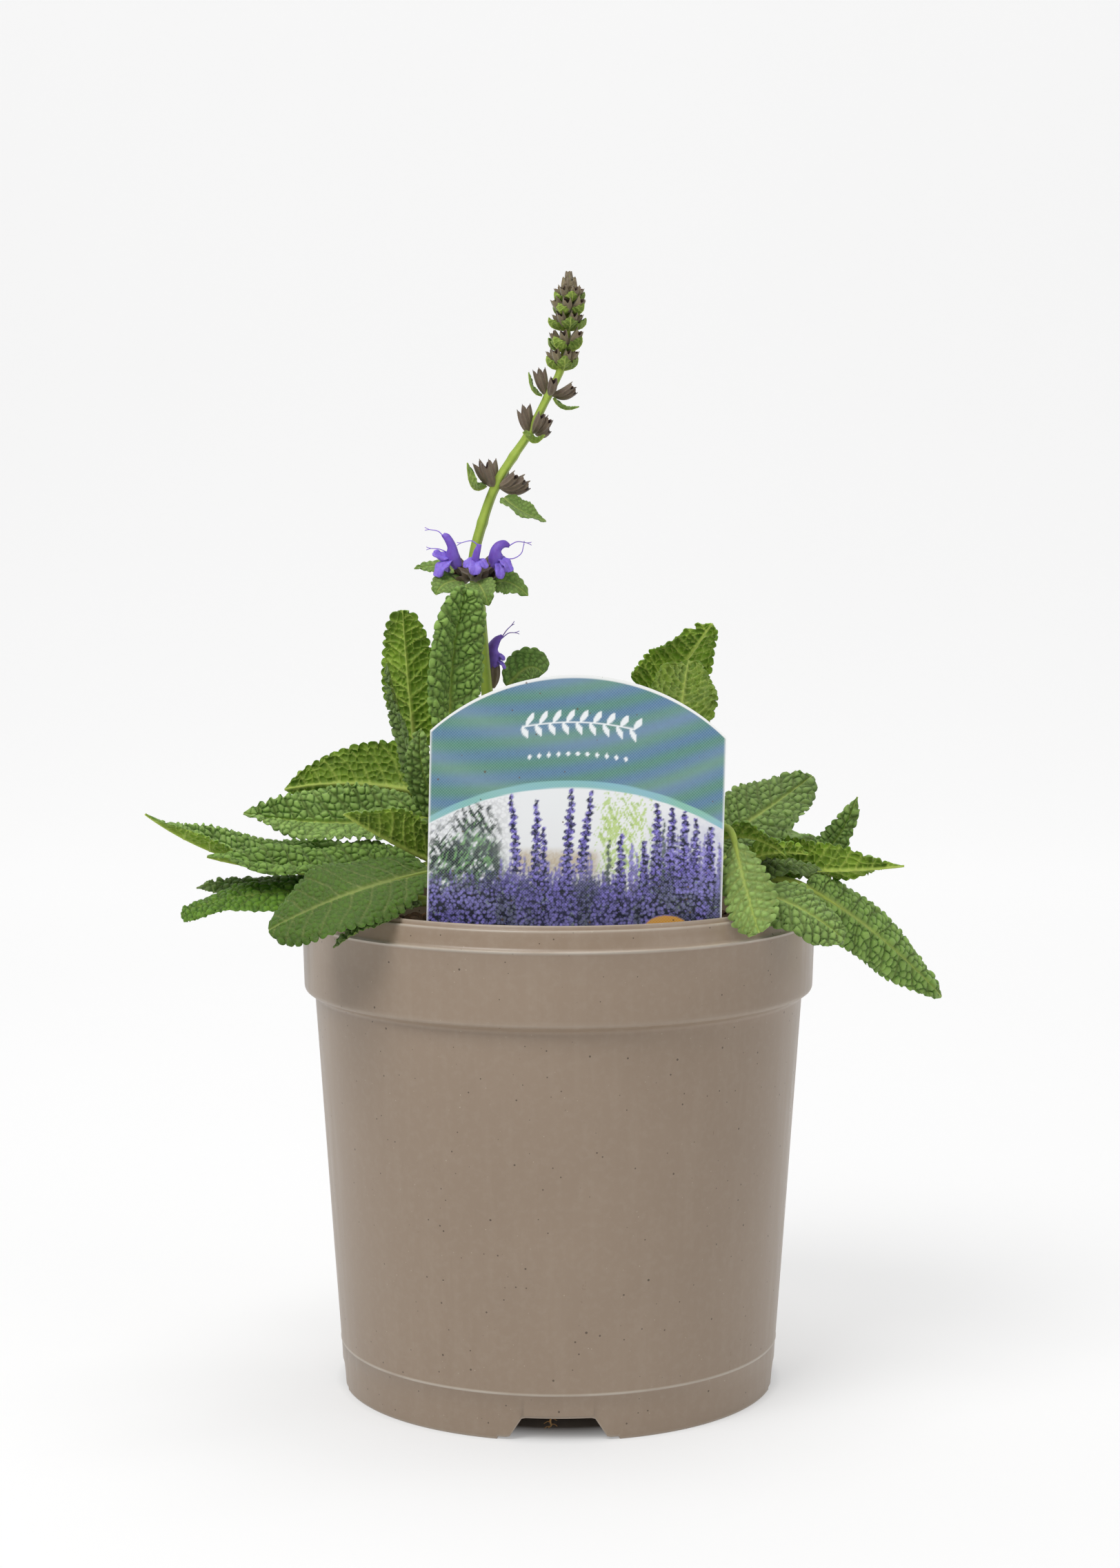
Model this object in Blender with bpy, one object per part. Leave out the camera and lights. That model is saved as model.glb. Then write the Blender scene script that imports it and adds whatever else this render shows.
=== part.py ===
"""A sage plant in a round nursery pot, with its printed plant tag.

The frame has +Z up and its origin under the pot's centre, on the surface that the pot stands on.
-Y is the front, the side that the tag faces. Lengths below are millimetres until MM turns them into
metres. The plant grows from one crown with six shoots. Each leaf is a thin solid on a midrib that runs
from its shoot, past a bend, to its tip.
"""

import math
from dataclasses import dataclass

import bmesh
import bpy
import numpy as np

MM = 0.001
GAP = 0.35  # clearance between pieces that touch

# The pot: a taper with a rolled band round its mouth and a notched foot.
FOOT_RADIUS = 72.2
FOOT_WALL = 1.6
LEDGE_RADIUS = 73.0
LEDGE_HEIGHT = 15.0
BAND_RADIUS = 84.4
BAND_HEIGHT = 134.3
NECK_RADIUS = 80.9
NECK_HEIGHT = 131.3
LIP_RADIUS = 85.5
LIP_HEIGHT = 156.9
RIM_RADIUS = 83.6
RIM_HEIGHT = 163.3
BEAD_RADIUS = 82.4
POT_HEIGHT = 164.8
MOUTH_RADIUS = 81.3
WALL = 1.4
FLOOR_UNDER = 9.0
POT_SIDES = 64

# Each of the four notches in the foot: a trapezium with a shallow step at its ends.
NOTCH_COUNT = 4
NOTCH_HEIGHT = 7.3
NOTCH_STEP = 0.8
NOTCH_TOP_HALF = 11.0
NOTCH_SLOPE_HALF = 16.0
NOTCH_HALF = 19.2

DRAIN_COUNT = 8
DRAIN_RADIUS = 5.0
DRAIN_CIRCLE = 46.0
DRAIN_TURN = 13.0
DRAIN_CUT_SIDES = 14

# The compost fills the pot to below its rim.
SOIL_TOP = 150.0
SOIL_SIDES = 48

# The tag: a card with an arched top on a pointed stake.
TAG_WIDTH = 91.8
TAG_THICK = 0.6
TAG_SHOULDER = 222.0
TAG_ARCH = 18.2
TAG_BASE = 152.5
TAG_CENTRE = 4.6
TAG_FRONT = -63.6
TAG_STAKE_WIDTH = 26.0
TAG_STAKE_POINT = 78.0
TAG_STAKE_TAPER = 20.0
TAG_LEAN = math.radians(2.0)
TAG_ROLL = math.radians(1.3)
TAG_CORNER_RADIUS = 3.0

# The crown: shoots on a rootstock, (x, y) of each, and how far up each one goes.
SHOOTS = {
    "left_front": (-20.0, -22.0),
    "left": (-27.0, -3.0),
    "left_rear": (-16.0, 17.0),
    "right_front": (22.0, -24.0),
    "right": (27.0, -4.0),
    "rear": (6.0, 22.0),
}
SHOOT_RADIUS = 3.6
SHOOT_TOP = 176.0
SHOOT_SIDES = 8
CROWN_ROOT = 134.0
CROWN_SIDES = 20

LEAF_THICK = 1.0
LEAF_STATIONS = 10
STALK_STATIONS = 4
STALK_HALF = 1.15

# The flower stem from the crown to its tip: points up its middle, and its half-thickness at each end.
STEM = (
    (-10, 3, 155),
    (-16, 3, 185),
    (-23, 2, 225),
    (-26, 1, 258),
    (-28, 1, 273),
    (-25, 1, 286.5),
    (-20.5, 1, 298.7),
    (-14.8, 1, 308),
    (-9.6, 1, 315.7),
    (-3.3, 1, 328),
    (0, 1, 335),
)
STEM_HALF = (2.1, 1.4)
SIDE_STEM = ((-2, 8, 155), (-12, 8, 190), (-21, 7, 215), (-23, 6, 231))
SIDE_STEM_HALF = (1.5, 1.1)

# The upper spike: (point up its middle, half-width there), swelling at each ring of buds.
UPPER_SPIKE = (
    ((0.3, 1, 335.6), 1.3),
    ((1.2, 1, 338.5), 4.6),
    ((1.8, 1, 341.5), 1.6),
    ((2.4, 1, 344.5), 6.6),
    ((3.0, 1, 348.0), 1.8),
    ((3.4, 1, 351.0), 5.4),
    ((3.8, 1, 354.0), 6.0),
    ((3.9, 1, 358.0), 4.8),
    ((3.8, 1, 361.5), 4.6),
    ((3.4, 1, 365.0), 2.6),
    ((2.8, 1, 368.3), 0.6),
)
SPIKE_DEPTH = 0.8

# Clumps of seed cups and the flowers in them: points up the middle and the half-width at each.
CUPS = {
    "cups_second_left": (((-23.2, 1, 300.2), (-25.0, 0, 303.5), (-25.2, 0, 307.4)), (1.2, 3.6, 2.4)),
    "cups_second_right": (((-17.4, 1, 299.4), (-14.2, 0, 298.4), (-10.4, 0, 300.4)), (1.0, 3.6, 1.8)),
    "cups_third_left": (((-10.3, -1.8, 318.4), (-11.4, -2, 321.0), (-11.6, -2, 324.8)), (1.0, 2.0, 1.1)),
    "cups_third_right": (((-6.6, -2.2, 316.2), (-4.6, -3, 317.0), (-2.6, -3, 319.4)), (1.0, 2.7, 1.6)),
    "cups_fourth_left": (((-5.6, 1, 330.0), (-6.4, 1, 333.2), (-6.8, 1, 337.0)), (0.8, 2.0, 1.3)),
    "cups_fourth_right": (((0.4, 1, 328.2), (3.2, 1, 328.6), (6.4, 1, 330.2)), (0.8, 1.9, 1.3)),
    "cup_side": (((-22.6, 6, 231.9), (-22.2, 6, 235.0), (-20.8, 6, 238.0)), (1.2, 2.4, 1.9)),
}
FLOWERS = {
    "flower_left": (((-34.4, -2, 272.6), (-36.2, -2, 275.4), (-38.2, -2, 282.4)), (1.6, 2.6, 1.1)),
    "flower_centre": (((-27.2, -7.6, 270.6), (-26.6, -8.6, 274), (-25.8, -8, 279.6)), (1.8, 2.0, 0.9)),
    "flower_right": (((-21.0, -2, 272.4), (-19.4, -2, 275.4), (-16.4, -2, 279.2)), (1.6, 2.6, 1.1)),
    "flower_side": (((-20.6, 6, 239.2), (-20.9, 6, 243.4), (-18.7, 6, 249.0)), (1.5, 2.2, 0.8)),
}
FLOWER_SIDES = 6

# The star of open seed cups in the lowest ring of flowers: a thick collar round the stem, its outline as
# (radius, height) from its centre.
COLLAR_CENTRE = (-27.8, 1.0, 271.2)
COLLAR_OUTLINE = ((2.6, -3.6), (3.6, -3.6), (5.8, 1.6), (4.6, 2.4), (2.6, 1.0))
COLLAR_SIDES = 12

# The root that hangs inside the front notch.
ROOT = ((-9, -59.5, 6.6), (-5.4, -61.4, 5.8), (-2.7, -62, 4.4), (-2.4, -61.6, 2.4), (-2.9, -61, 0.8))
ROOT_HALF = 0.6


@dataclass(frozen=True)
class Leaf:
    """One leaf: its blade's base, bend and tip, how the blade lies, and where its stalk starts.

    face is the direction that the upper side looks, at the base and, as tip_face, at the tip if it turns.
    fold is the angle in degrees that each half rises from flat, negative where it droops. widest is where
    the blade is widest, as a share of its length, and pointed is near 1 for a round tip and more for a long
    one.
    A leaf with no shoot has no stalk; rise is the height at which a stalk leaves its shoot.
    """

    name: str
    base: tuple
    bend: tuple
    tip: tuple
    width: float
    face: tuple
    fold: float = 20.0
    widest: float = 0.38
    pointed: float = 1.3
    tip_face: tuple = ()
    shoot: str = ""
    rise: float = 0.0


# Upright leaves behind the tag, left to right.
UPRIGHT_LEAVES = (
    Leaf("leaf_left_upright", (-47, 4, 206), (-50, 4, 234), (-51, -6, 258), 18, (0.1, 1, 0.3), 15,
         0.58, 1.1, shoot="left_rear", rise=172),
    Leaf("leaf_left_rolled", (-42, -8, 190), (-51, -10, 218), (-54, -12, 241), 9, (-0.8, -0.6, 0), 25,
         tip_face=(-0.9, -0.4, 0), shoot="left", rise=168),
    Leaf("leaf_left_small", (-38, -18, 192), (-46, -26, 207), (-44, -30, 221), 12, (-0.3, -0.9, 0.2),
         15, shoot="left_front", rise=171),
    Leaf("leaf_centre_upright", (-35, -14, 212), (-37, -14, 243), (-30, -16, 266), 24,
         (0.53, -0.85, 0.2), 35, 0.5, 0.85, shoot="left_front", rise=175),
    Leaf("leaf_side_shoot", (-17, 12, 231.5), (-10, 14, 242), (-5, 12, 236), 14, (0.1, -0.9, 0.3), 10,
         0.5, 1.0),
    Leaf("leaf_right_upright", (32, 30, 226), (41, 24, 236), (51, 8, 253), 26, (-0.2, 0.9, 0.4), 15,
         0.28, 1.05, shoot="rear", rise=172),
    Leaf("leaf_right_inner", (39, -22, 216), (40, -18, 231), (42, 2, 239), 22, (0.1, -0.8, 0.6), 20,
         0.4, 1.0, shoot="right_front", rise=172),
)
# The leaves that spread to the left, from the back and top to the front and bottom.
LEFT_LEAVES = (
    Leaf("leaf_left_back", (-39, 20, 193), (-68, 24, 201), (-93, 22, 196), 31, (0, 1, -0.1), 10, 0.3,
         shoot="left_rear", rise=168),
    Leaf("leaf_left_high", (-43, 0, 189), (-77, -4, 185), (-104, -6, 191), 28, (0, -0.75, 0.65), 35,
         shoot="left", rise=164),
    Leaf("leaf_left_inner", (-36, -27, 176), (-52, -37, 184), (-68, -44, 195), 25, (-0.1, 0.3, 0.95),
         50, shoot="left_front", rise=164),
    Leaf("leaf_left_long", (-44, 2, 173), (-100.2, -2, 163.6), (-132.5, -36, 194.4), 29,
         (0.1, -0.3, 0.95), 35, 0.42, 2.0, shoot="left", rise=159),
    Leaf("leaf_left_middle", (-45, -16, 174), (-79, -24, 170), (-113, -32, 180), 28, (0, -0.3, 0.95),
         36, 0.3, 1.4, shoot="left_front", rise=160),
    Leaf("leaf_left_shade", (-60, -8, 165), (-94, -12, 169), (-119, -12, 168), 18, (0, -0.3, 0.95), 5,
         shoot="left", rise=156),
    Leaf("leaf_left_low", (-58, -24, 167), (-104, -30, 170), (-122, -28, 160), 18, (0, -0.3, 0.95), 0,
         0.5, 1.1, shoot="left", rise=155.5),
    Leaf("leaf_left_front", (-37, -42, 177), (-62, -72, 177), (-90, -66, 161), 31, (0.1, -0.55, 0.83),
         4, 0.6, 1.6, shoot="left_front", rise=157),
    Leaf("leaf_left_drooping", (-38, -52, 168), (-50, -66, 174), (-70, -66, 155.6), 13,
         (0, -0.3, 0.95), 5, shoot="left_front", rise=153),
)
# The leaves that spread to the right.
RIGHT_LEAVES = (
    Leaf("leaf_right_high", (51, -26, 184), (64, -22, 191), (84, -2, 203), 25, (-0.1, -0.8, 0.6), 10,
         0.42, 1.15, shoot="right_front", rise=168),
    Leaf("leaf_right_curled", (47, -39, 186), (62, -44, 191), (72, -46, 182), 15, (0.2, 0.3, 0.9), 20,
         tip_face=(0.4, 0.3, 0.8), shoot="right_front", rise=165),
    Leaf("leaf_right_bright", (60, -33, 181), (68, -34, 185), (80, -35, 182.5), 12, (0.1, 0.6, 0.8),
         15, shoot="right_front", rise=162),
    Leaf("leaf_right_pointed", (66, -10, 173), (89, -18, 170), (112, -26, 175), 24, (0, 0.8, 0.55), 35,
         0.25, 1.5, shoot="right", rise=164),
    Leaf("leaf_right_shade", (59, -28, 175), (71, -30, 177), (85, -28, 175), 14, (0, -0.3, 0.95), 5,
         shoot="right", rise=160),
    Leaf("leaf_right_rear", (82, 14, 169), (95, 14, 177), (100, 8, 195), 12, (-0.5, -0.85, 0.2), 5,
         0.3, shoot="right", rise=168),
    Leaf("leaf_right_long", (80, -25, 169.2), (103, -14, 156.2), (129.5, 10, 126.7), 20,
         (0.32, -0.87, 0.38), -18, 0.4, 1.1, shoot="right", rise=156),
    Leaf("leaf_right_front", (61, -47, 171), (78, -57, 168), (90, -53, 155.5), 20, (0.25, -0.65, 0.7),
         -6, 0.42, 1.0, shoot="right_front", rise=158),
    Leaf("leaf_right_pale", (55, -56, 188), (58, -61, 174), (61, -67, 162), 14, (0.1, 0.9, 0.3), 8,
         0.5, 1.2, shoot="right_front", rise=155),
)
# The leaves of the back.
REAR_LEAVES = (
    Leaf("leaf_rear_right", (32, 40, 186), (45, 58, 190), (57, 82, 174), 29, (0, 0.2, 1), 14,
         tip_face=(0.2, 0.5, 0.8), shoot="rear", rise=160),
    Leaf("leaf_rear_centre", (6, 40, 177), (4, 62, 186), (0, 88, 168), 28, (0, 0.1, 1), 14,
         tip_face=(0, 0.4, 0.9), shoot="rear", rise=156),
    Leaf("leaf_rear_left", (-30, 38, 180), (-44, 56, 188), (-60, 80, 180), 27, (-0.1, 0, 1), 14,
         tip_face=(-0.1, 0.2, 1), shoot="left_rear", rise=162),
    Leaf("leaf_rear_upright", (6, 34, 192), (6, 44, 214), (8, 66, 226), 26, (0, -0.7, 0.7), 16,
         tip_face=(0, -0.8, 0.6), shoot="rear", rise=167),
    Leaf("leaf_rear_side", (56, 22, 172), (72, 34, 184), (96, 44, 172), 28, (0.1, 0, 1), 14,
         tip_face=(0.3, 0.1, 0.9), shoot="right", rise=164),
)
# The small leaves under the rings of flowers, from the lowest ring up.
BRACTS = (
    Leaf("bract_first_rear", (-33, 7, 270), (-40, 10, 273), (-48, 9, 271), 6, (0, -0.7, 0.7), 10),
    Leaf("bract_first_left", (-31.5, -3, 267.5), (-38, -8, 268), (-40, -9, 263), 11, (-0.1, -0.7, 0.7),
         10),
    Leaf("bract_first_front", (-27, -5.5, 267), (-25, -14, 267), (-22.6, -13, 259.6), 10,
         (0, -0.6, 0.8), 12, tip_face=(0, -0.9, 0.2)),
    Leaf("bract_first_right", (-22.4, -1, 266), (-17, -2, 269.6), (-10, -2, 262.4), 10,
         (0.1, -0.8, 0.6), 8),
    Leaf("bract_second_left", (-23.8, 1, 298.6), (-29, 0, 295), (-29.6, -1, 305), 10, (0.4, 0, 0.9),
         28, tip_face=(1, 0, 0.2)),
    Leaf("bract_second_right", (-18.0, -2.6, 294.6), (-13, -6.4, 289.6), (-4, -4, 286.8), 11,
         (0.3, -0.5, 0.8), 22),
    Leaf("bract_third", (-11.4, -3, 316), (-8, -5, 309.5), (-4.4, -5, 315), 8, (0.1, 0.2, 1), 35),
    Leaf("bract_fourth_left", (-5.4, 1, 327.9), (-9.6, 0, 328), (-9.7, 0, 335.4), 6, (0.4, 0, 0.9), 25,
         tip_face=(1, 0, 0)),
    Leaf("bract_fourth_right", (-1.6, 0, 327), (0.8, -1, 321.5), (6.8, -1, 324.2), 6, (0.6, 0, 0.8),
         25, tip_face=(-0.3, 0, 0.9)),
)
LEAVES = UPRIGHT_LEAVES + LEFT_LEAVES + RIGHT_LEAVES + REAR_LEAVES


def unit(vector):
    """The vector, or each row of an array of them, at length 1."""
    vector = np.asarray(vector, float)
    return vector / np.linalg.norm(vector, axis=-1, keepdims=True)


def blade_share(leaf, t):
    """Half-width of a blade at shares t of its length, as a share of its widest: t^a (1 - t)^b."""
    a, b = leaf.pointed * leaf.widest, leaf.pointed * (1 - leaf.widest)
    peak = leaf.widest**a * (1 - leaf.widest) ** b
    t = np.clip(t, 0, 1)
    return t**a * (1 - t) ** b / peak


def blade_axes(leaf, t):
    """Midrib points, across directions and upper-side directions at shares t of the blade.

    The midrib is a quadratic Bezier from the base, past the bend, to the tip.
    """
    base, bend, tip = (np.array(p, float) for p in (leaf.base, leaf.bend, leaf.tip))
    t = np.asarray(t, float)[:, None]
    points = (1 - t) ** 2 * base + 2 * t * (1 - t) * bend + t**2 * tip
    along = unit(2 * (1 - t) * (bend - base) + 2 * t * (tip - bend))
    face = (1 - t) * unit(leaf.face) + t * unit(leaf.tip_face or leaf.face)
    normal = unit(face - (face * along).sum(1, keepdims=True) * along)
    return points, np.cross(along, normal), normal


def stalk_axes(leaf):
    """Points and directions up the stalk, from the side of its shoot to the blade's base.

    The path is a cubic that leaves the shoot outwards and a little up, and meets the midrib in line.
    """
    base = np.array(leaf.base, float)
    shoot = np.array([*SHOOTS[leaf.shoot], leaf.rise])
    out = unit([base[0] - shoot[0], base[1] - shoot[1], 0.0])
    start = shoot + out * (SHOOT_RADIUS + STALK_HALF + GAP)
    reach = np.linalg.norm(base - start)
    leave = unit(out + [0, 0, 0.6]) * reach
    arrive = unit(np.array(leaf.bend, float) - base) * reach
    s = np.linspace(0, 1, STALK_STATIONS + 1)[:-1, None]
    points = (
        (2 * s**3 - 3 * s**2 + 1) * start
        + (s**3 - 2 * s**2 + s) * leave
        + (3 * s**2 - 2 * s**3) * base
        + (s**3 - s**2) * arrive
    )
    slope = (
        (6 * s**2 - 6 * s) * start
        + (3 * s**2 - 4 * s + 1) * leave
        + (6 * s - 6 * s**2) * base
        + (3 * s**2 - 2 * s) * arrive
    )
    return points, unit(slope)


def leaf_rings(leaf):
    """Rings of four points down a leaf: margin, upper midrib, margin, lower midrib."""
    t = np.linspace(0, 1, LEAF_STATIONS) ** 1.1
    t = np.concatenate([t[:1], [0.04], t[1:]])
    points, across, normal = blade_axes(leaf, t)
    half = np.maximum(leaf.width / 2 * blade_share(leaf, t), STALK_HALF)
    half[-1] = 0.3
    rise = math.radians(leaf.fold)
    thick = np.full(len(t), LEAF_THICK / 2)
    thick[0], thick[-1] = STALK_HALF, 0.15
    fold = np.where(np.arange(len(t)) == 0, 0.0, rise)
    out = (half * np.cos(fold))[:, None] * across
    up = (half * np.sin(fold))[:, None] * normal
    body = thick[:, None] * normal
    rings = np.stack([points - out + up, points + body, points + out + up, points - body], axis=1)
    if not leaf.shoot:
        return rings
    places, along = stalk_axes(leaf)
    upper = normal[0]
    stalk = []
    for place, way in zip(places[::-1], along[::-1]):
        upper = unit(upper - upper.dot(way) * way)
        side = np.cross(way, upper)
        stalk.append([place + STALK_HALF * step for step in (-side, upper, side, -upper)])
    return np.concatenate([np.array(stalk[::-1]), rings])


def smooth_path(points, steps):
    """Catmull-Rom curve through the points, with this many steps in each stretch."""
    points = np.asarray(points, float)
    ends = np.concatenate([2 * points[:1] - points[1:2], points, 2 * points[-1:] - points[-2:-1]])
    t = (np.arange(steps) / steps)[:, None]
    runs = []
    for a, b, c, d in zip(ends, ends[1:], ends[2:], ends[3:]):
        squared = 2 * a - 5 * b + 4 * c - d
        cubed = 3 * b - a - 3 * c + d
        runs.append(0.5 * (2 * b + (c - a) * t + squared * t**2 + cubed * t**3))
    return np.concatenate([*runs, points[-1:]])


def tube_rings(path, halves, sides, depth=1.0):
    """Rings round a path with a half-width at each point; depth flattens them from front to back."""
    path = np.asarray(path, float)
    along = unit(np.gradient(path, axis=0))
    reference = np.array([0.0, 1.0, 0.0])
    upper = unit(reference - (along @ reference)[:, None] * along)
    side = np.cross(along, upper)
    turns = (np.arange(sides) + 0.5) * 2 * math.pi / sides
    circle = np.cos(turns)[:, None] * side[:, None] + depth * np.sin(turns)[:, None] * upper[:, None]
    return path[:, None] + np.asarray(halves, float)[:, None, None] * circle


def tube_mesh(rings):
    """Vertices and faces of a closed tube through rings of points, an array of (ring, point, xyz)."""
    count, sides = rings.shape[:2]
    vertices = rings.reshape(-1, 3)
    faces = [list(range(sides - 1, -1, -1)), list(range((count - 1) * sides, count * sides))]
    for i in range(count - 1):
        for k in range(sides):
            a, b = i * sides + k, i * sides + (k + 1) % sides
            faces.append([a, b, b + sides, a + sides])
    return vertices, faces


def material(name, colour, roughness, metallic=0.0):
    """A plain Principled material, made once for each name."""
    found = bpy.data.materials.get(name)
    if found:
        return found
    made = bpy.data.materials.new(name)
    made.use_nodes = True
    shader = made.node_tree.nodes["Principled BSDF"]
    shader.inputs["Base Color"].default_value = (*colour, 1.0)
    shader.inputs["Roughness"].default_value = roughness
    shader.inputs["Metallic"].default_value = metallic
    return made


def add_object(name, vertices, faces, finish, smooth=True):
    """A mesh object from millimetre vertices, with its faces turned outwards."""
    mesh = bpy.data.meshes.new(name)
    mesh.from_pydata((np.asarray(vertices, float) * MM).tolist(), [], faces)
    shape = bmesh.new()
    shape.from_mesh(mesh)
    bmesh.ops.recalc_face_normals(shape, faces=shape.faces)
    shape.to_mesh(mesh)
    shape.free()
    if smooth:
        mesh.shade_smooth()
        mesh.set_sharp_from_angle(angle=math.radians(40))
    mesh.materials.append(finish)
    made = bpy.data.objects.new(name, mesh)
    bpy.context.scene.collection.objects.link(made)
    return made


def make_cutter(made):
    """Turns an object into a hidden helper."""
    made.hide_render = True
    made.display_type = "WIRE"
    return made


def cut(body, cutter, operation="DIFFERENCE"):
    """A Boolean of one object with a hidden helper."""
    modifier = body.modifiers.new(cutter.name, "BOOLEAN")
    modifier.operation = operation
    modifier.solver = "EXACT"
    modifier.object = make_cutter(cutter)


def notch_lift(angle):
    """How far the foot's lower edge is raised at an angle round the pot, in degrees."""
    pitch = 360 / NOTCH_COUNT
    off = abs((angle + 90 + pitch / 2) % pitch - pitch / 2)
    across = FOOT_RADIUS * math.sin(math.radians(off))
    corners = [0, NOTCH_TOP_HALF, NOTCH_SLOPE_HALF, NOTCH_HALF, NOTCH_HALF + 0.6]
    lifts = [NOTCH_HEIGHT, NOTCH_HEIGHT, NOTCH_STEP, NOTCH_STEP, 0]
    return float(np.interp(across, corners, lifts))


def pot_angles():
    """Angles round the pot: even ones, and those of the notches' corners."""
    angles = {round(a, 3) for a in np.arange(0, 360, 360 / POT_SIDES)}
    corners = (NOTCH_TOP_HALF, NOTCH_SLOPE_HALF, NOTCH_HALF, NOTCH_HALF + 0.6)
    for k in range(NOTCH_COUNT):
        centre = -90 + 360 / NOTCH_COUNT * k
        for across in corners:
            off = math.degrees(math.asin(across / FOOT_RADIUS))
            for angle in ((centre - off) % 360, (centre + off) % 360):
                angles = {a for a in angles if abs(a - angle) > 1.4}
                angles.add(round(angle, 3))
    return sorted(angles)


def pot_profile(lift):
    """The wall's outline as (radius, height): from the foot up the outside, then down the inside."""
    return [
        (FOOT_RADIUS, lift),
        (LEDGE_RADIUS, LEDGE_HEIGHT),
        (NECK_RADIUS, NECK_HEIGHT),
        (BAND_RADIUS - 0.8, BAND_HEIGHT - 1.4),
        (BAND_RADIUS, BAND_HEIGHT),
        (LIP_RADIUS - 0.6, LIP_HEIGHT - 0.6),
        (LIP_RADIUS, LIP_HEIGHT),
        (RIM_RADIUS + 0.8, LIP_HEIGHT + 0.4),
        (RIM_RADIUS, RIM_HEIGHT),
        (BEAD_RADIUS + 0.2, RIM_HEIGHT + 0.1),
        (BEAD_RADIUS, POT_HEIGHT),
        (MOUTH_RADIUS, POT_HEIGHT),
        (LIP_RADIUS - WALL - 1.2, LIP_HEIGHT - 1),
        (BAND_RADIUS - WALL - 0.2, BAND_HEIGHT + 2),
        (NECK_RADIUS - WALL, NECK_HEIGHT + 0.6),
        (LEDGE_RADIUS - WALL, LEDGE_HEIGHT),
        (LEDGE_RADIUS - WALL - 0.4, FLOOR_UNDER + WALL),
    ]


def build_pot():
    """The pot: the outline turned round the axis, its foot notched and its floor drilled."""
    finish = material("pot_plastic", (0.30, 0.24, 0.19), 0.42)
    angles = pot_angles()
    vertices, faces, rings = [], [], []
    for angle in angles:
        turn = math.radians(angle)
        lift = notch_lift(angle)
        outline = pot_profile(lift)
        outline += [(FOOT_RADIUS - FOOT_WALL, FLOOR_UNDER), (FOOT_RADIUS - FOOT_WALL, lift)]
        ring = []
        for radius, height in outline:
            ring.append(len(vertices))
            vertices.append((radius * math.cos(turn), radius * math.sin(turn), height))
        rings.append(ring)
    floor_top, floor_under = len(vertices), len(vertices) + 1
    vertices += [(0, 0, FLOOR_UNDER + WALL), (0, 0, FLOOR_UNDER)]
    inner, under = len(rings[0]) - 3, len(rings[0]) - 2
    for ring, after in zip(rings, rings[1:] + rings[:1]):
        for k in range(len(ring)):
            if k == inner:
                faces.append([ring[k], after[k], floor_top])
                faces.append([floor_under, after[under], ring[under]])
                continue
            n = (k + 1) % len(ring)
            faces.append([ring[k], after[k], after[n], ring[n]])
    pot = add_object("pot", vertices, faces, finish)
    for k in range(DRAIN_COUNT):
        turn = math.radians(360 / DRAIN_COUNT * k + DRAIN_TURN)
        centre = (DRAIN_CIRCLE * math.cos(turn), DRAIN_CIRCLE * math.sin(turn), FLOOR_UNDER + WALL / 2)
        cut(pot, prism(f"drain_cutter_{k}", centre, DRAIN_RADIUS, 6.0, DRAIN_CUT_SIDES))
    return pot


def prism(name, centre, radius, height, sides):
    """An upright prism with regular sides, centred on a point."""
    turns = np.arange(sides) * 2 * math.pi / sides
    low = np.stack([radius * np.cos(turns), radius * np.sin(turns), np.full(sides, -height / 2)], axis=1)
    vertices, faces = tube_mesh(np.stack([low, low + [0, 0, height]]) + np.array(centre, float))
    return add_object(name, vertices, faces, material("helper", (1, 0, 0), 0.5), smooth=False)


def soil_height(radius, angle):
    """The compost's uneven top: a slow swell, lower at the wall."""
    swell = 1.2 * math.sin(2 * angle + 0.7) + 0.9 * math.cos(3 * angle + radius / 17)
    return SOIL_TOP + swell * min(radius / 30, 1) - 2.5 * (radius / MOUTH_RADIUS) ** 4


def build_soil():
    """The compost: a plug that fits the pot, with sockets for the tag's stake and the crown."""
    finish = material("compost", (0.045, 0.03, 0.02), 0.95)
    clear = GAP + 0.25
    outline = [
        (LEDGE_RADIUS - WALL - 0.4 - clear, FLOOR_UNDER + WALL + clear),
        (LEDGE_RADIUS - WALL - clear, LEDGE_HEIGHT),
        (NECK_RADIUS - WALL - clear, NECK_HEIGHT + 0.6),
        (BAND_RADIUS - WALL - 0.6 - clear, BAND_HEIGHT + 2.6),
        (LIP_RADIUS - WALL - 1.6 - clear, None),
        (58.0, None),
        (34.0, None),
    ]
    vertices, faces = [], []
    for k in range(SOIL_SIDES):
        turn = 2 * math.pi * k / SOIL_SIDES
        for radius, height in outline:
            height = soil_height(radius, turn) if height is None else height
            vertices.append((radius * math.cos(turn), radius * math.sin(turn), height))
    count = len(outline)
    bottom, top = len(vertices), len(vertices) + 1
    vertices += [(0, 0, FLOOR_UNDER + WALL + clear), (0, 0, SOIL_TOP)]
    for k in range(SOIL_SIDES):
        a, b = k * count, (k + 1) % SOIL_SIDES * count
        faces += [[a + j, b + j, b + j + 1, a + j + 1] for j in range(count - 1)]
        faces += [[bottom, b, a], [a + count - 1, b + count - 1, top]]
    soil = add_object("soil", vertices, faces, finish)
    stake = add_object("stake_cutter", *tag_solid(GAP), material("helper", (1, 0, 0), 0.5), smooth=False)
    cut(soil, stake)
    crown = add_object("crown_cutter", *crown_core(GAP), material("helper", (1, 0, 0), 0.5), smooth=False)
    cut(soil, crown)
    return soil


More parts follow.
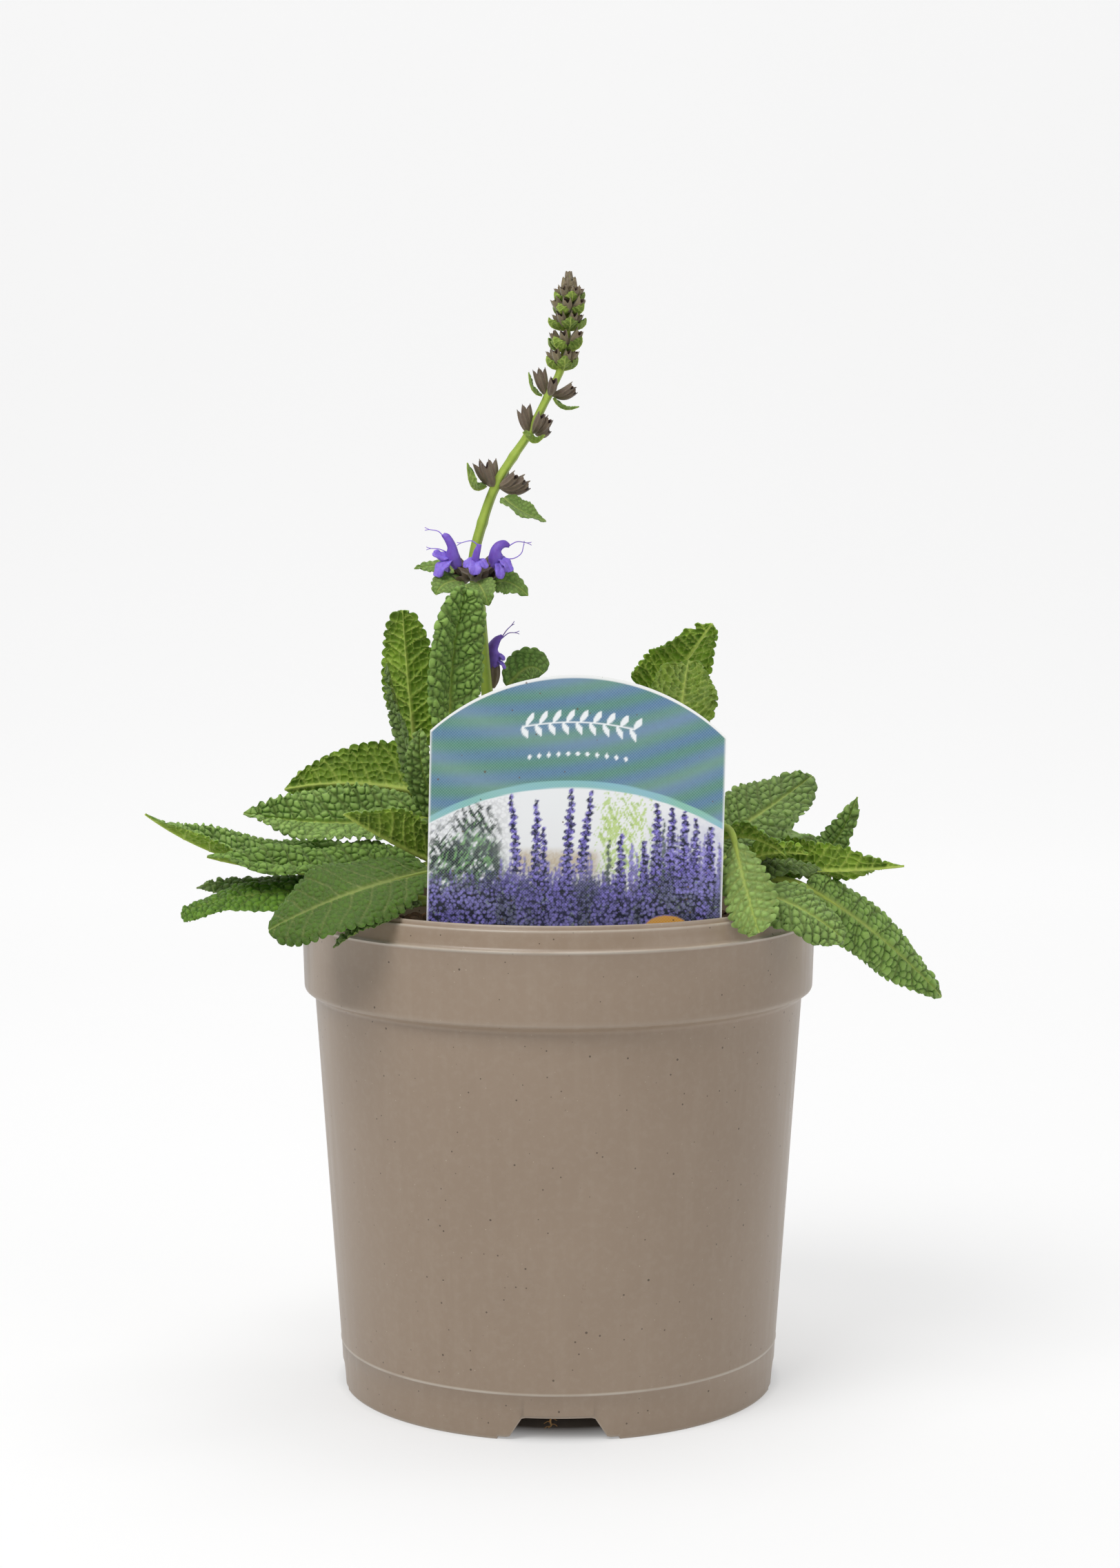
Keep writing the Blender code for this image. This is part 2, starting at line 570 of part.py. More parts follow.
def tag_outline(grow=0.0):
    """The tag's outline as (across, height): the arched card, then its tapered stake."""
    half = TAG_WIDTH / 2
    arch_radius = (half**2 + TAG_ARCH**2) / (2 * TAG_ARCH)
    reach = math.asin(half / arch_radius)
    points = []
    for k in range(17):
        turn = reach - 2 * reach * k / 16
        height = TAG_SHOULDER + TAG_ARCH - arch_radius * (1 - math.cos(turn))
        points.append((arch_radius * math.sin(turn), height))
    stake = TAG_STAKE_WIDTH / 2 + grow
    point = TAG_STAKE_POINT - grow
    points += [
        (-half, TAG_BASE + TAG_CORNER_RADIUS),
        (-half + TAG_CORNER_RADIUS, TAG_BASE),
        (-stake, TAG_BASE),
        (-stake, point + TAG_STAKE_TAPER),
        (-2.0, point),
        (2.0, point),
        (stake, point + TAG_STAKE_TAPER),
        (stake, TAG_BASE),
        (half - TAG_CORNER_RADIUS, TAG_BASE),
        (half, TAG_BASE + TAG_CORNER_RADIUS),
    ]
    return points


def tag_place(points):
    """Stands points of the tag, (across, out, height), in place: leaning back and rolled to the right."""
    points = np.asarray(points, float)
    across, out, up = points.T
    up = up - TAG_BASE
    rolled = across * math.cos(TAG_ROLL) + up * math.sin(TAG_ROLL)
    height = up * math.cos(TAG_ROLL) - across * math.sin(TAG_ROLL)
    back = out * math.cos(TAG_LEAN) + height * math.sin(TAG_LEAN)
    height = height * math.cos(TAG_LEAN) - out * math.sin(TAG_LEAN)
    return np.stack([TAG_CENTRE + rolled, TAG_FRONT + back, TAG_BASE + height], axis=1)


def tag_solid(grow=0.0):
    """Vertices and faces of the tag, its thickness grown by a clearance on each side."""
    outline = tag_outline(grow)
    count = len(outline)
    sheets = [tag_place([(x, y, z) for x, z in outline]) for y in (-grow, TAG_THICK + grow)]
    faces = [list(range(count - 1, -1, -1)), list(range(count, 2 * count))]
    faces += [[k, (k + 1) % count, (k + 1) % count + count, k + count] for k in range(count)]
    return np.concatenate(sheets), faces


def build_tag():
    """The printed card on its stake."""
    return add_object("tag", *tag_solid(), material("tag_print", (0.12, 0.28, 0.33), 0.35), smooth=False)


def crown_core(grow=0.0):
    """The rootstock: a flattened dome in the compost that carries the shoots."""
    profile = ((4, CROWN_ROOT), (26, 139), (38, 146), (41, 150.5), (34, 153), (10, 153.6))
    turns = np.arange(CROWN_SIDES) * 2 * math.pi / CROWN_SIDES
    rings = []
    for k, (radius, height) in enumerate(profile):
        reach = radius + grow
        level = height + (-grow if k < 2 else grow * (k > 3))
        rings.append([(reach * np.cos(t), 0.9 * reach * np.sin(t), level) for t in turns])
    return tube_mesh(np.array(rings))


def shoot_body(x, y, grow=0.0):
    """One shoot: a blunt upright peg."""
    steps = ((SHOOT_RADIUS, 149.5), (SHOOT_RADIUS, SHOOT_TOP - 6), (2.2, SHOOT_TOP - 1), (0.8, SHOOT_TOP))
    path = [(x, y, height) for _, height in steps]
    return tube_mesh(tube_rings(path, [radius + grow for radius, _ in steps], SHOOT_SIDES))


def build_crown():
    """The crown: the rootstock with its shoots joined on."""
    finish = material("crown_bark", (0.16, 0.13, 0.06), 0.85)
    crown = add_object("crown", *crown_core(), finish)
    for name, (x, y) in SHOOTS.items():
        cut(crown, add_object(f"shoot_{name}", *shoot_body(x, y), finish), "UNION")
    return crown


def build_leaves():
    """Every leaf, and the small leaves under the flowers."""
    leaf_green = material("leaf_green", (0.10, 0.19, 0.04), 0.6)
    for leaf in LEAVES:
        add_object(leaf.name, *tube_mesh(leaf_rings(leaf)), leaf_green)
    bract_green = material("bract_green", (0.14, 0.24, 0.07), 0.55)
    for bract in BRACTS:
        add_object(bract.name, *tube_mesh(leaf_rings(bract)), bract_green)


def build_stems():
    """The flower stem, its side stem and the spike of buds at the top."""
    stem_green = material("stem_green", (0.25, 0.34, 0.06), 0.5)
    stems = (("stem", STEM, STEM_HALF), ("stem_side", SIDE_STEM, SIDE_STEM_HALF))
    for name, points, (low, high) in stems:
        path = smooth_path(points, 2)
        add_object(name, *tube_mesh(tube_rings(path, np.linspace(low, high, len(path)), 8)), stem_green)
    buds = material("bud_green", (0.20, 0.22, 0.10), 0.6)
    path, halves = zip(*UPPER_SPIKE)
    add_object("spike_tip", *tube_mesh(tube_rings(path, halves, 10, SPIKE_DEPTH)), buds)


def build_flowers():
    """The seed cups, and the flowers that are open."""
    husk = material("husk", (0.09, 0.06, 0.06), 0.6)
    petal = material("petal_violet", (0.22, 0.12, 0.55), 0.5)
    for group, finish in ((CUPS, husk), (FLOWERS, petal)):
        for name, (points, halves) in group.items():
            path = smooth_path(points, 2)
            width = np.interp(np.arange(len(path)), np.arange(len(halves)) * 2, halves)
            add_object(name, *tube_mesh(tube_rings(path, width, FLOWER_SIDES)), finish)
    x, y, z = COLLAR_CENTRE
    turns = np.arange(COLLAR_SIDES) * 2 * math.pi / COLLAR_SIDES
    ring = COLLAR_OUTLINE
    points = [[(x + r * math.cos(t), y + r * math.sin(t), z + h) for r, h in ring] for t in turns]
    count = len(ring)
    faces = []
    for k in range(COLLAR_SIDES):
        for j in range(count):
            a, b = k * count, (k + 1) % COLLAR_SIDES * count
            faces.append([a + j, b + j, b + (j + 1) % count, a + (j + 1) % count])
    add_object("cups_first", np.array(points).reshape(-1, 3), faces, husk)


def build_root():
    """The root that hangs inside the front notch."""
    finish = material("root", (0.45, 0.33, 0.12), 0.6)
    path = smooth_path(ROOT, 2)
    add_object("root", *tube_mesh(tube_rings(path, np.full(len(path), ROOT_HALF), 6)), finish)


def main():
    """Clears the scene and builds the object."""
    for old in list(bpy.data.objects):
        bpy.data.objects.remove(old, do_unlink=True)
    build_pot()
    build_soil()
    build_tag()
    build_crown()
    build_leaves()
    build_stems()
    build_flowers()
    build_root()


if __name__ == "__main__":
    main()
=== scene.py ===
"""The looks of a sage plant in a round nursery pot, with its printed plant tag.

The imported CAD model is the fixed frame. Each class below stands for one sub-assembly: it holds the sizes of
that sub-assembly in millimetres, builds its meshes as numpy grids, and dresses them. +Z is up, -Y is the
front, and the origin is on the pot's axis, on the ground.
"""

import logging
import math
from dataclasses import dataclass, field
from enum import Enum
from typing import Any, Optional, Sequence

import bpy
import numpy as np
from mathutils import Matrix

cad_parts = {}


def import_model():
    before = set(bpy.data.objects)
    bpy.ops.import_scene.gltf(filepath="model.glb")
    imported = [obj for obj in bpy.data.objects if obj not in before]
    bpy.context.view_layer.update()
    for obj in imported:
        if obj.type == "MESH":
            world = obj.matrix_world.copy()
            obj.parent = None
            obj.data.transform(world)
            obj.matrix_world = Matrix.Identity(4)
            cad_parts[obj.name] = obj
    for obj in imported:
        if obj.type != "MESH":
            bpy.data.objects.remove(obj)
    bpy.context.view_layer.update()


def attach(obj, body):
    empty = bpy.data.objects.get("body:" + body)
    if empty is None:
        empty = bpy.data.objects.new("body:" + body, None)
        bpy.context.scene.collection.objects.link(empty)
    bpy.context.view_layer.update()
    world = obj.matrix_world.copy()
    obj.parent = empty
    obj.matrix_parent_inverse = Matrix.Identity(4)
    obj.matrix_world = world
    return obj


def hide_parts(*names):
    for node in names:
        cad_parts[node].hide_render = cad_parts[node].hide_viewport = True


Array = np.ndarray
MM = 0.001
LOG = logging.getLogger("potted_sage")


# ---------------------------------------------------------------------------------------------------------
# Surfaces


@dataclass
class Surface:
    """A closed surface: points in millimetres, four- and three-sided faces, and a value at each point."""

    points: Array
    quads: Array
    triangles: Array
    values: dict[str, Array] = field(default_factory=dict)

    def outward(self) -> "Surface":
        """Turns the faces round where the volume that they enclose comes out negative.

        The volume is a sixth of the sum of a . (b x c) over the triangles.

        Returns:
            The same surface, its faces looking outwards.
        """
        fans = [self.triangles, self.quads[:, [0, 1, 2]], self.quads[:, [0, 2, 3]]]
        a, b, c = (self.points[np.concatenate(fans)[:, k]] for k in range(3))
        if (a * np.cross(b, c)).sum() < 0:
            self.quads = self.quads[:, ::-1]
            self.triangles = self.triangles[:, ::-1]
        return self


def unit(vectors: Array) -> Array:
    """Each vector at length 1."""
    vectors = np.asarray(vectors, float)
    return vectors / np.maximum(np.linalg.norm(vectors, axis=-1, keepdims=True), 1e-12)


def grid_faces(rows: int, columns: int, wrap_rows: bool = False, wrap_columns: bool = False) -> Array:
    """The quads of a grid whose point (i, j) is number i * columns + j.

    Args:
        rows: The number of rows of points.
        columns: The number of points in a row.
        wrap_rows: Whether the last row joins the first.
        wrap_columns: Whether the last point of a row joins its first.

    Returns:
        An array of (quad, 4).
    """
    i = np.arange(rows if wrap_rows else rows - 1)[:, None]
    j = np.arange(columns if wrap_columns else columns - 1)[None]
    i_next, j_next = (i + 1) % rows, (j + 1) % columns
    corners = (i * columns + j, i * columns + j_next, i_next * columns + j_next, i_next * columns + j)
    return np.stack([np.broadcast_to(c, (i.size, j.size)) for c in corners], axis=-1).reshape(-1, 4)


def shell(upper: Array, lower: Array, values: dict[str, tuple[Array, Array]]) -> Surface:
    """A thin closed solid between two grids of the same size, joined round their edges.

    Args:
        upper: Points of the upper side, (rows, columns, 3).
        lower: Points of the lower side.
        values: For each name, its grids on the upper and on the lower side.

    Returns:
        The closed surface.
    """
    rows, columns = upper.shape[:2]
    count = rows * columns
    number = np.arange(count).reshape(rows, columns)
    rim = np.concatenate([number[0, :-1], number[:-1, -1], number[-1, :0:-1], number[:0:-1, 0]])
    after = np.roll(rim, -1)
    side = np.stack([after, rim, rim + count, after + count], axis=1)
    face = grid_faces(rows, columns)
    quads = np.concatenate([face, face[:, ::-1] + count, side])
    points = np.concatenate([upper.reshape(-1, 3), lower.reshape(-1, 3)])
    carried = {k: np.concatenate([np.ravel(a), np.ravel(b)]) for k, (a, b) in values.items()}
    return Surface(points, quads, np.zeros((0, 3), int), carried).outward()


def tube(rings: Array, values: Optional[dict[str, Array]] = None, ring_wrap: bool = False) -> Surface:
    """A closed solid through rings of points: its ends are closed to their middles, or joined together.

    Args:
        rings: Points, (rings, points in a ring, 3).
        values: For each name, its grid over the same points.
        ring_wrap: Whether the last ring joins the first, in place of two closed ends.

    Returns:
        The closed surface.
    """
    rows, columns = rings.shape[:2]
    quads = grid_faces(rows, columns, ring_wrap, True)
    carried = {k: np.ravel(v) for k, v in (values or {}).items()}
    points = rings.reshape(-1, 3)
    if ring_wrap:
        return Surface(points, quads, np.zeros((0, 3), int), carried).outward()
    count = rows * columns
    j = np.arange(columns)
    after = (j + 1) % columns
    last = count - columns
    start = np.stack([np.full(columns, count), after, j], axis=1)
    end = np.stack([np.full(columns, count + 1), last + j, last + after], axis=1)
    points = np.concatenate([points, rings[:1].mean(axis=1), rings[-1:].mean(axis=1)])
    carried = {k: np.concatenate([v, v[:1], v[-1:]]) for k, v in carried.items()}
    return Surface(points, quads, np.concatenate([start, end]), carried).outward()


def join(surfaces: Sequence[Surface]) -> Surface:
    """Several surfaces as one, with a value that a surface lacks taken as 0."""
    starts = np.cumsum([0] + [len(s.points) for s in surfaces])
    names = {name for s in surfaces for name in s.values}
    return Surface(
        np.concatenate([s.points for s in surfaces]),
        np.concatenate([s.quads + n for s, n in zip(surfaces, starts)]),
        np.concatenate([s.triangles + n for s, n in zip(surfaces, starts)]),
        {k: np.concatenate([s.values.get(k, np.zeros(len(s.points))) for s in surfaces]) for k in names},
    )


def smooth_path(points: Sequence, steps: int) -> Array:
    """A Catmull-Rom curve through points.

    Between b and c it is half of 2b + (c - a)t + (2a - 5b + 4c - d)t^2 + (3b - a - 3c + d)t^3.

    Args:
        points: The points it goes through.
        steps: How many pieces each stretch is cut into.

    Returns:
        The curve's points.
    """
    p = np.asarray(points, float)
    ends = np.concatenate([2 * p[:1] - p[1:2], p, 2 * p[-1:] - p[-2:-1]])
    t = (np.arange(steps) / steps)[None, :, None]
    a, b, c, d = (ends[k : len(ends) - 3 + k, None] for k in range(4))
    curve = (
        0.5 * (2 * b + (c - a) * t + (2 * a - 5 * b + 4 * c - d) * t**2 + (3 * b - a - 3 * c + d) * t**3)
    )
    return np.concatenate([curve.reshape(-1, p.shape[1]), p[-1:]])


def path_frame(path: Array, upper: Sequence[float] = (0, 1, 0)) -> tuple[Array, Array]:
    """Two directions across a path at each of its points: sideways, and as near to upper as it can be."""
    along = unit(np.gradient(path, axis=0))
    reference = np.asarray(upper, float)
    lift = unit(reference - (along @ reference)[:, None] * along)
    return np.cross(along, lift), lift


def round_tube(
    path: Array, radii: Array | float, sides: int = 10, values: Optional[dict[str, float]] = None
) -> Surface:
    """A round bar along a path, with a radius at each of its points.

    Args:
        path: The path's points.
        radii: One radius, or one for each point.
        sides: Points in each ring.
        values: Numbers that every point carries.

    Returns:
        The closed surface.
    """
    side, lift = path_frame(path)
    turn = np.arange(sides) * 2 * math.pi / sides
    radii = np.broadcast_to(np.asarray(radii, float), (len(path),))
    rings = path[:, None] + radii[:, None, None] * circle(turn, side, lift)
    return tube(rings, {k: np.full(rings.shape[:2], v) for k, v in (values or {}).items()})


def circle(turn: Array, side: Array, lift: Array) -> Array:
    """Directions round a path at the angles turn, from two directions across it at right angles."""
    return np.cos(turn)[:, None] * side[..., None, :] + np.sin(turn)[:, None] * lift[..., None, :]


def turned(x: Array, y: Array, angle: float) -> tuple[Array, Array]:
    """Flat coordinates turned about the origin by an angle."""
    c, s = math.cos(angle), math.sin(angle)
    return c * x - s * y, s * x + c * y


def grid_normals(points: Array) -> Array:
    """The unit normal at each point of a grid: the cross product of its two slopes."""
    return unit(np.cross(np.gradient(points, axis=0), np.gradient(points, axis=1)))


# ---------------------------------------------------------------------------------------------------------
# Patterns as numbers


def lattice(i: Array, j: Array, seed: int) -> Array:
    """A fixed number from 0 to 1 for each whole-number pair: a mix of multiplied and shifted bits."""
    h = (i.astype(np.int64) * 374761393 + j.astype(np.int64) * 668265263 + seed * 2246822519) & 0xFFFFFFFF
    h = ((h ^ (h >> 13)) * 1274126177) & 0xFFFFFFFF
    h = ((h ^ (h >> 16)) * 2654435761) & 0xFFFFFFFF
    return (h ^ (h >> 15)) / 4294967296.0


def drift(x: Array, y: Array, seed: int) -> Array:
    """Smooth noise from 0 to 1: lattice numbers blended by 3f^2 - 2f^3 between whole coordinates."""
    i, j = np.floor(x), np.floor(y)
    f, g = x - i, y - j
    f, g = f * f * (3 - 2 * f), g * g * (3 - 2 * g)
    low = lattice(i, j, seed) * (1 - f) + lattice(i + 1, j, seed) * f
    high = lattice(i, j + 1, seed) * (1 - f) + lattice(i + 1, j + 1, seed) * f
    return low * (1 - g) + high * g


def cells(x: Array, y: Array, seed: int, loose: float = 0.8) -> tuple[Array, Array, Array]:
    """Cells round one scattered point in each unit square.

    Args:
        x: First coordinate of each place.
        y: Second coordinate.
        seed: Picks the scatter.
        loose: How far a point may stray from the middle of its square.

    Returns:
        The distance to the nearest point, how much further the second one is, and the nearest one's number.
    """
    i, j = np.floor(x), np.floor(y)
    first = np.full(x.shape, 9.0)
    second = np.full(x.shape, 9.0)
    mark = np.zeros(x.shape)
    for di in (-1, 0, 1):
        for dj in (-1, 0, 1):
            a, b = i + di, j + dj
            px = a + 0.5 + loose * (lattice(a, b, seed) - 0.5)
            py = b + 0.5 + loose * (lattice(a, b, seed + 7) - 0.5)
            d = np.hypot(x - px, y - py)
            nearer = d < first
            second = np.where(nearer, first, np.minimum(second, d))
            mark = np.where(nearer, lattice(a, b, seed + 3), mark)
            first = np.where(nearer, d, first)
    return first, second - first, mark


def step_up(x: Array, low: float, high: float) -> Array:
    """0 below low, 1 above high, and 3s^2 - 2s^3 between."""
    s = np.clip((x - low) / (high - low), 0, 1)
    return s * s * (3 - 2 * s)


# ---------------------------------------------------------------------------------------------------------
# Shader nodes


def srgb(red: float, green: float, blue: float) -> tuple[float, float, float]:
    """A colour given as 0-255 display values, in linear light."""
    share = [c / 255 for c in (red, green, blue)]
    return tuple(c / 12.92 if c <= 0.04045 else ((c + 0.055) / 1.055) ** 2.4 for c in share)


class NodeSheet:
    """Adds and joins the nodes of one shader tree."""

    def __init__(self, tree: bpy.types.NodeTree) -> None:
        """Holds the tree that the nodes go in."""
        self.tree = tree

    def fill(self, socket: bpy.types.NodeSocket, value: Any) -> None:
        """Sets a socket to a number or colour, or links it to another socket."""
        if isinstance(value, bpy.types.NodeSocket):
            self.tree.links.new(value, socket)
        elif isinstance(value, tuple) and len(value) == 3 and socket.type == "RGBA":
            socket.default_value = (*value, 1.0)
        else:
            socket.default_value = value

    def add(self, kind: str, inputs: Optional[dict] = None, **settings: Any) -> bpy.types.Node:
        """Adds a node.

        Args:
            kind: The node's type name, without ShaderNode.
            inputs: A value or a socket for each input, by name or number.
            settings: The node's own properties.

        Returns:
            The node.
        """
        node = self.tree.nodes.new("ShaderNode" + kind)
        for name, value in settings.items():
            setattr(node, name, value)
        for name, value in (inputs or {}).items():
            self.fill(node.inputs[name], value)
        return node

    def sum(self, kind: str, a: Any, b: Any = 0.5) -> bpy.types.NodeSocket:
        """The result of a Math node, held between 0 and 1."""
        return self.add("Math", {0: a, 1: b}, operation=kind, use_clamp=True).outputs[0]

    def blend(self, share: Any, a: Any, b: Any, how: str = "MIX") -> bpy.types.NodeSocket:
        """A colour between a and b."""
        node = self.add("Mix", data_type="RGBA", blend_type=how)
        for socket, value in ((node.inputs[0], share), (node.inputs[6], a), (node.inputs[7], b)):
            self.fill(socket, value)
        return node.outputs[2]

    def span(self, value: Any, low: float, high: float, first: float = 0, last: float = 1) -> Any:
        """A value moved from the span low to high to the span first to last, and kept in it."""
        inputs = {"Value": value, "From Min": low, "From Max": high, "To Min": first, "To Max": last}
        return self.add("MapRange", inputs).outputs[0]

    def weigh(self, a: Any, b: Any, share: float) -> bpy.types.NodeSocket:
        """The sum of two values: the second by its share, and the first by the rest."""
        return self.sum("ADD", self.sum("MULTIPLY", a, 1 - share), self.sum("MULTIPLY", b, share))

    def grey(self, level: Any) -> bpy.types.NodeSocket:
        """A grey colour from one value."""
        return self.add("CombineColor", {0: level, 1: level, 2: level}).outputs[0]

    def carried(self, name: str) -> bpy.types.NodeSocket:
        """The value that the mesh carries under a name."""
        return self.add("Attribute", attribute_name=name).outputs["Fac"]


class Effect(Enum):
    """The shader groups that several finishes share."""

    MOTTLE = "soft mottle"
    SPECKS = "scattered specks"
    GRAIN = "fine surface grain"


def effect_group(effect: Effect) -> bpy.types.NodeTree:
    """A shared shader group, built once.

    Each takes Place and Scale (features to a metre); specks also take Share, how much they cover.

    Args:
        effect: Which group.

    Returns:
        The group.
    """
    found = bpy.data.node_groups.get(effect.value)
    if found:
        return found
    tree = bpy.data.node_groups.new(effect.value, "ShaderNodeTree")
    tree.interface.new_socket("Place", in_out="INPUT", socket_type="NodeSocketVector")
    tree.interface.new_socket("Scale", in_out="INPUT", socket_type="NodeSocketFloat")
    tree.interface.new_socket("Share", in_out="INPUT", socket_type="NodeSocketFloat")
    tree.interface.new_socket("Mask", in_out="OUTPUT", socket_type="NodeSocketFloat")
    sheet = NodeSheet(tree)
    given = tree.nodes.new("NodeGroupInput")
    place, scale, share = (given.outputs[k] for k in range(3))
    noise = {"Vector": place, "Scale": scale}
    if effect is Effect.MOTTLE:
        base = sheet.add("TexNoise", {**noise, "Detail": 4.0, "Roughness": 0.6}).outputs["Fac"]
        mask = sheet.span(base, 0.32, 0.68)
    elif effect is Effect.GRAIN:
        mask = sheet.add("TexNoise", {**noise, "Detail": 2.0, "Roughness": 0.7}).outputs["Fac"]
    else:
        spots = sheet.add("TexVoronoi", {**noise, "Randomness": 1.0}).outputs["Distance"]
        patch = sheet.add("TexNoise", {"Vector": place, "Scale": 90.0, "Detail": 2.0}).outputs["Fac"]
        reach = sheet.add("Math", {0: share, 1: patch}, operation="MULTIPLY").outputs[0]
        near = sheet.add("Math", {0: reach, 1: spots}, operation="SUBTRACT").outputs[0]
        mask = sheet.span(near, 0.0, 0.03)
    tree.links.new(mask, tree.nodes.new("NodeGroupOutput").inputs["Mask"])
    return tree


class Finish:
    """A material being made: its tree, its Principled shader, and the shared effects."""

    def __init__(self, name: str, **plain: Any) -> None:
        """Starts a material.

        Args:
            name: The material's name.
            plain: Uniform shader inputs, with _ for a space in the input's name.
        """
        self.material = bpy.data.materials.new(name)
        self.material.use_nodes = True
        self.sheet = NodeSheet(self.material.node_tree)
        self.shader = self.material.node_tree.nodes["Principled BSDF"]
        self.place = self.sheet.add("TexCoord").outputs["Object"]
        for key, value in plain.items():
            self.sheet.fill(self.shader.inputs[key.replace("_", " ")], value)

    def effect(self, effect: Effect, scale: float, share: float = 0.5) -> bpy.types.NodeSocket:
        """The mask of a shared effect on this material."""
        node = self.sheet.add("Group")
        node.node_tree = effect_group(effect)
        for name, value in (("Place", self.place), ("Scale", scale), ("Share", share)):
            self.sheet.fill(node.inputs[name], value)
        return node.outputs["Mask"]

    def show(
        self, colour: Any, roughness: Any, height: Any = None, deep: float = 0.2,
    ) -> bpy.types.Material:
        """Joins the finished inputs to the shader.

        Args:
            colour: Base colour.
            roughness: Roughness.
            height: Bump height from 0 to 1, where there is a bump.
            deep: The bump's depth in millimetres.

        Returns:
            The material.
        """
        self.sheet.fill(self.shader.inputs["Base Color"], colour)
        self.sheet.fill(self.shader.inputs["Roughness"], roughness)
        if height is not None:
            bump = self.sheet.add("Bump", {"Height": height, "Distance": deep * MM, "Strength": 1.0})
            self.sheet.fill(self.shader.inputs["Normal"], bump.outputs[0])
        return self.material


@dataclass(frozen=True)
class LeafFinish:
    """A sage leaf: wrinkled grey-green above, yellow-green with raised veins below."""

    name: str = "sage_leaf"
    # crest is the grey-green of the domes' tops, painted lighter where they catch the light; hollow is
    # painted shade in the creases between them.
    crest: tuple = (142, 170, 90)
    hollow: tuple = (30, 54, 10)
    fresh_crest: tuple = (98, 138, 28)
    fresh_hollow: tuple = (36, 68, 4)
    midrib: tuple = (172, 190, 96)
    under: tuple = (130, 158, 44)
    under_dark: tuple = (84, 112, 22)
    under_vein: tuple = (178, 194, 92)
    glow: float = 0.18

    def make(self) -> bpy.types.Material:
        """Builds the material: the mesh carries dome, vein, side, tone and fresh."""
        kit = Finish(
            self.name, Subsurface_Weight=self.glow, Subsurface_Scale=0.0016, Sheen_Weight=0.1,
            Sheen_Roughness=0.55, IOR=1.42, Specular_IOR_Level=0.32,
        )
        kit.sheet.fill(kit.shader.inputs["Subsurface Radius"], (0.45, 1.0, 0.25))
        kit.sheet.fill(kit.shader.inputs["Sheen Tint"], (0.85, 1.0, 0.8))
        sheet = kit.sheet
        dome, vein, side, tone, fresh = (
            sheet.carried(name) for name in ("dome", "vein", "side", "tone", "fresh")
        )
        mottle = kit.effect(Effect.MOTTLE, 160.0)
        fine = kit.effect(Effect.GRAIN, 2400.0)
        # Domes' tops painted lighter and the creases between them darker: painted light and shade on the
        # wrinkles, with a little random mottle.
        lit = sheet.weigh(dome, mottle, 0.15)
        above = sheet.blend(lit, srgb(*self.hollow), srgb(*self.crest))
        above = sheet.blend(
            fresh, above, sheet.blend(lit, srgb(*self.fresh_hollow), srgb(*self.fresh_crest)),
        )
        above = sheet.blend(sheet.sum("MULTIPLY", vein, 0.8), above, srgb(*self.midrib))
        below = sheet.blend(mottle, srgb(*self.under_dark), srgb(*self.under))
        below = sheet.blend(sheet.sum("MULTIPLY", vein, 0.85), below, srgb(*self.under_vein))
        colour = sheet.blend(side, below, above)
        # Each leaf's tone scales its colour 0.42 to 1.25 times: partly its own depth of colour, partly
        # painted shade on leaves in the shadow of others and painted light on the most lit ones.
        shade = sheet.span(tone, 0.0, 1.0, 0.42, 1.25)
        colour = sheet.blend(1.0, colour, sheet.grey(shade), "MULTIPLY")
        colour = sheet.blend(sheet.span(fine, 0.55, 0.8, 0.0, 0.16), colour, srgb(178, 198, 150))
        rough = sheet.span(fine, 0.3, 0.7, 0.48, 0.66)
        return kit.show(colour, rough, fine, 0.12)


@dataclass(frozen=True)
class SoftFinish:
    """A small soft part of the plant, such as a stem, seed cup, bud or petal."""

    name: str
    light: tuple
    deep: tuple
    streak: float = 300.0
    rough: float = 0.55
    glow: float = 0.1
    sheen: float = 0.2
    bump: float = 0.08

    def make(self) -> bpy.types.Material:
        """Builds the material: the carried tone runs from the deep colour to the light one."""
        kit = Finish(
            self.name, Subsurface_Weight=self.glow, Subsurface_Scale=0.001, Sheen_Weight=self.sheen,
        )
        sheet = kit.sheet
        mottle = kit.effect(Effect.MOTTLE, self.streak)
        fine = kit.effect(Effect.GRAIN, 3000.0)
        share = sheet.weigh(sheet.carried("tone"), mottle, 0.25)
        colour = sheet.blend(share, srgb(*self.deep), srgb(*self.light))
        return kit.show(
            colour, sheet.span(fine, 0.3, 0.7, self.rough - 0.08, self.rough + 0.1), fine, self.bump,
        )


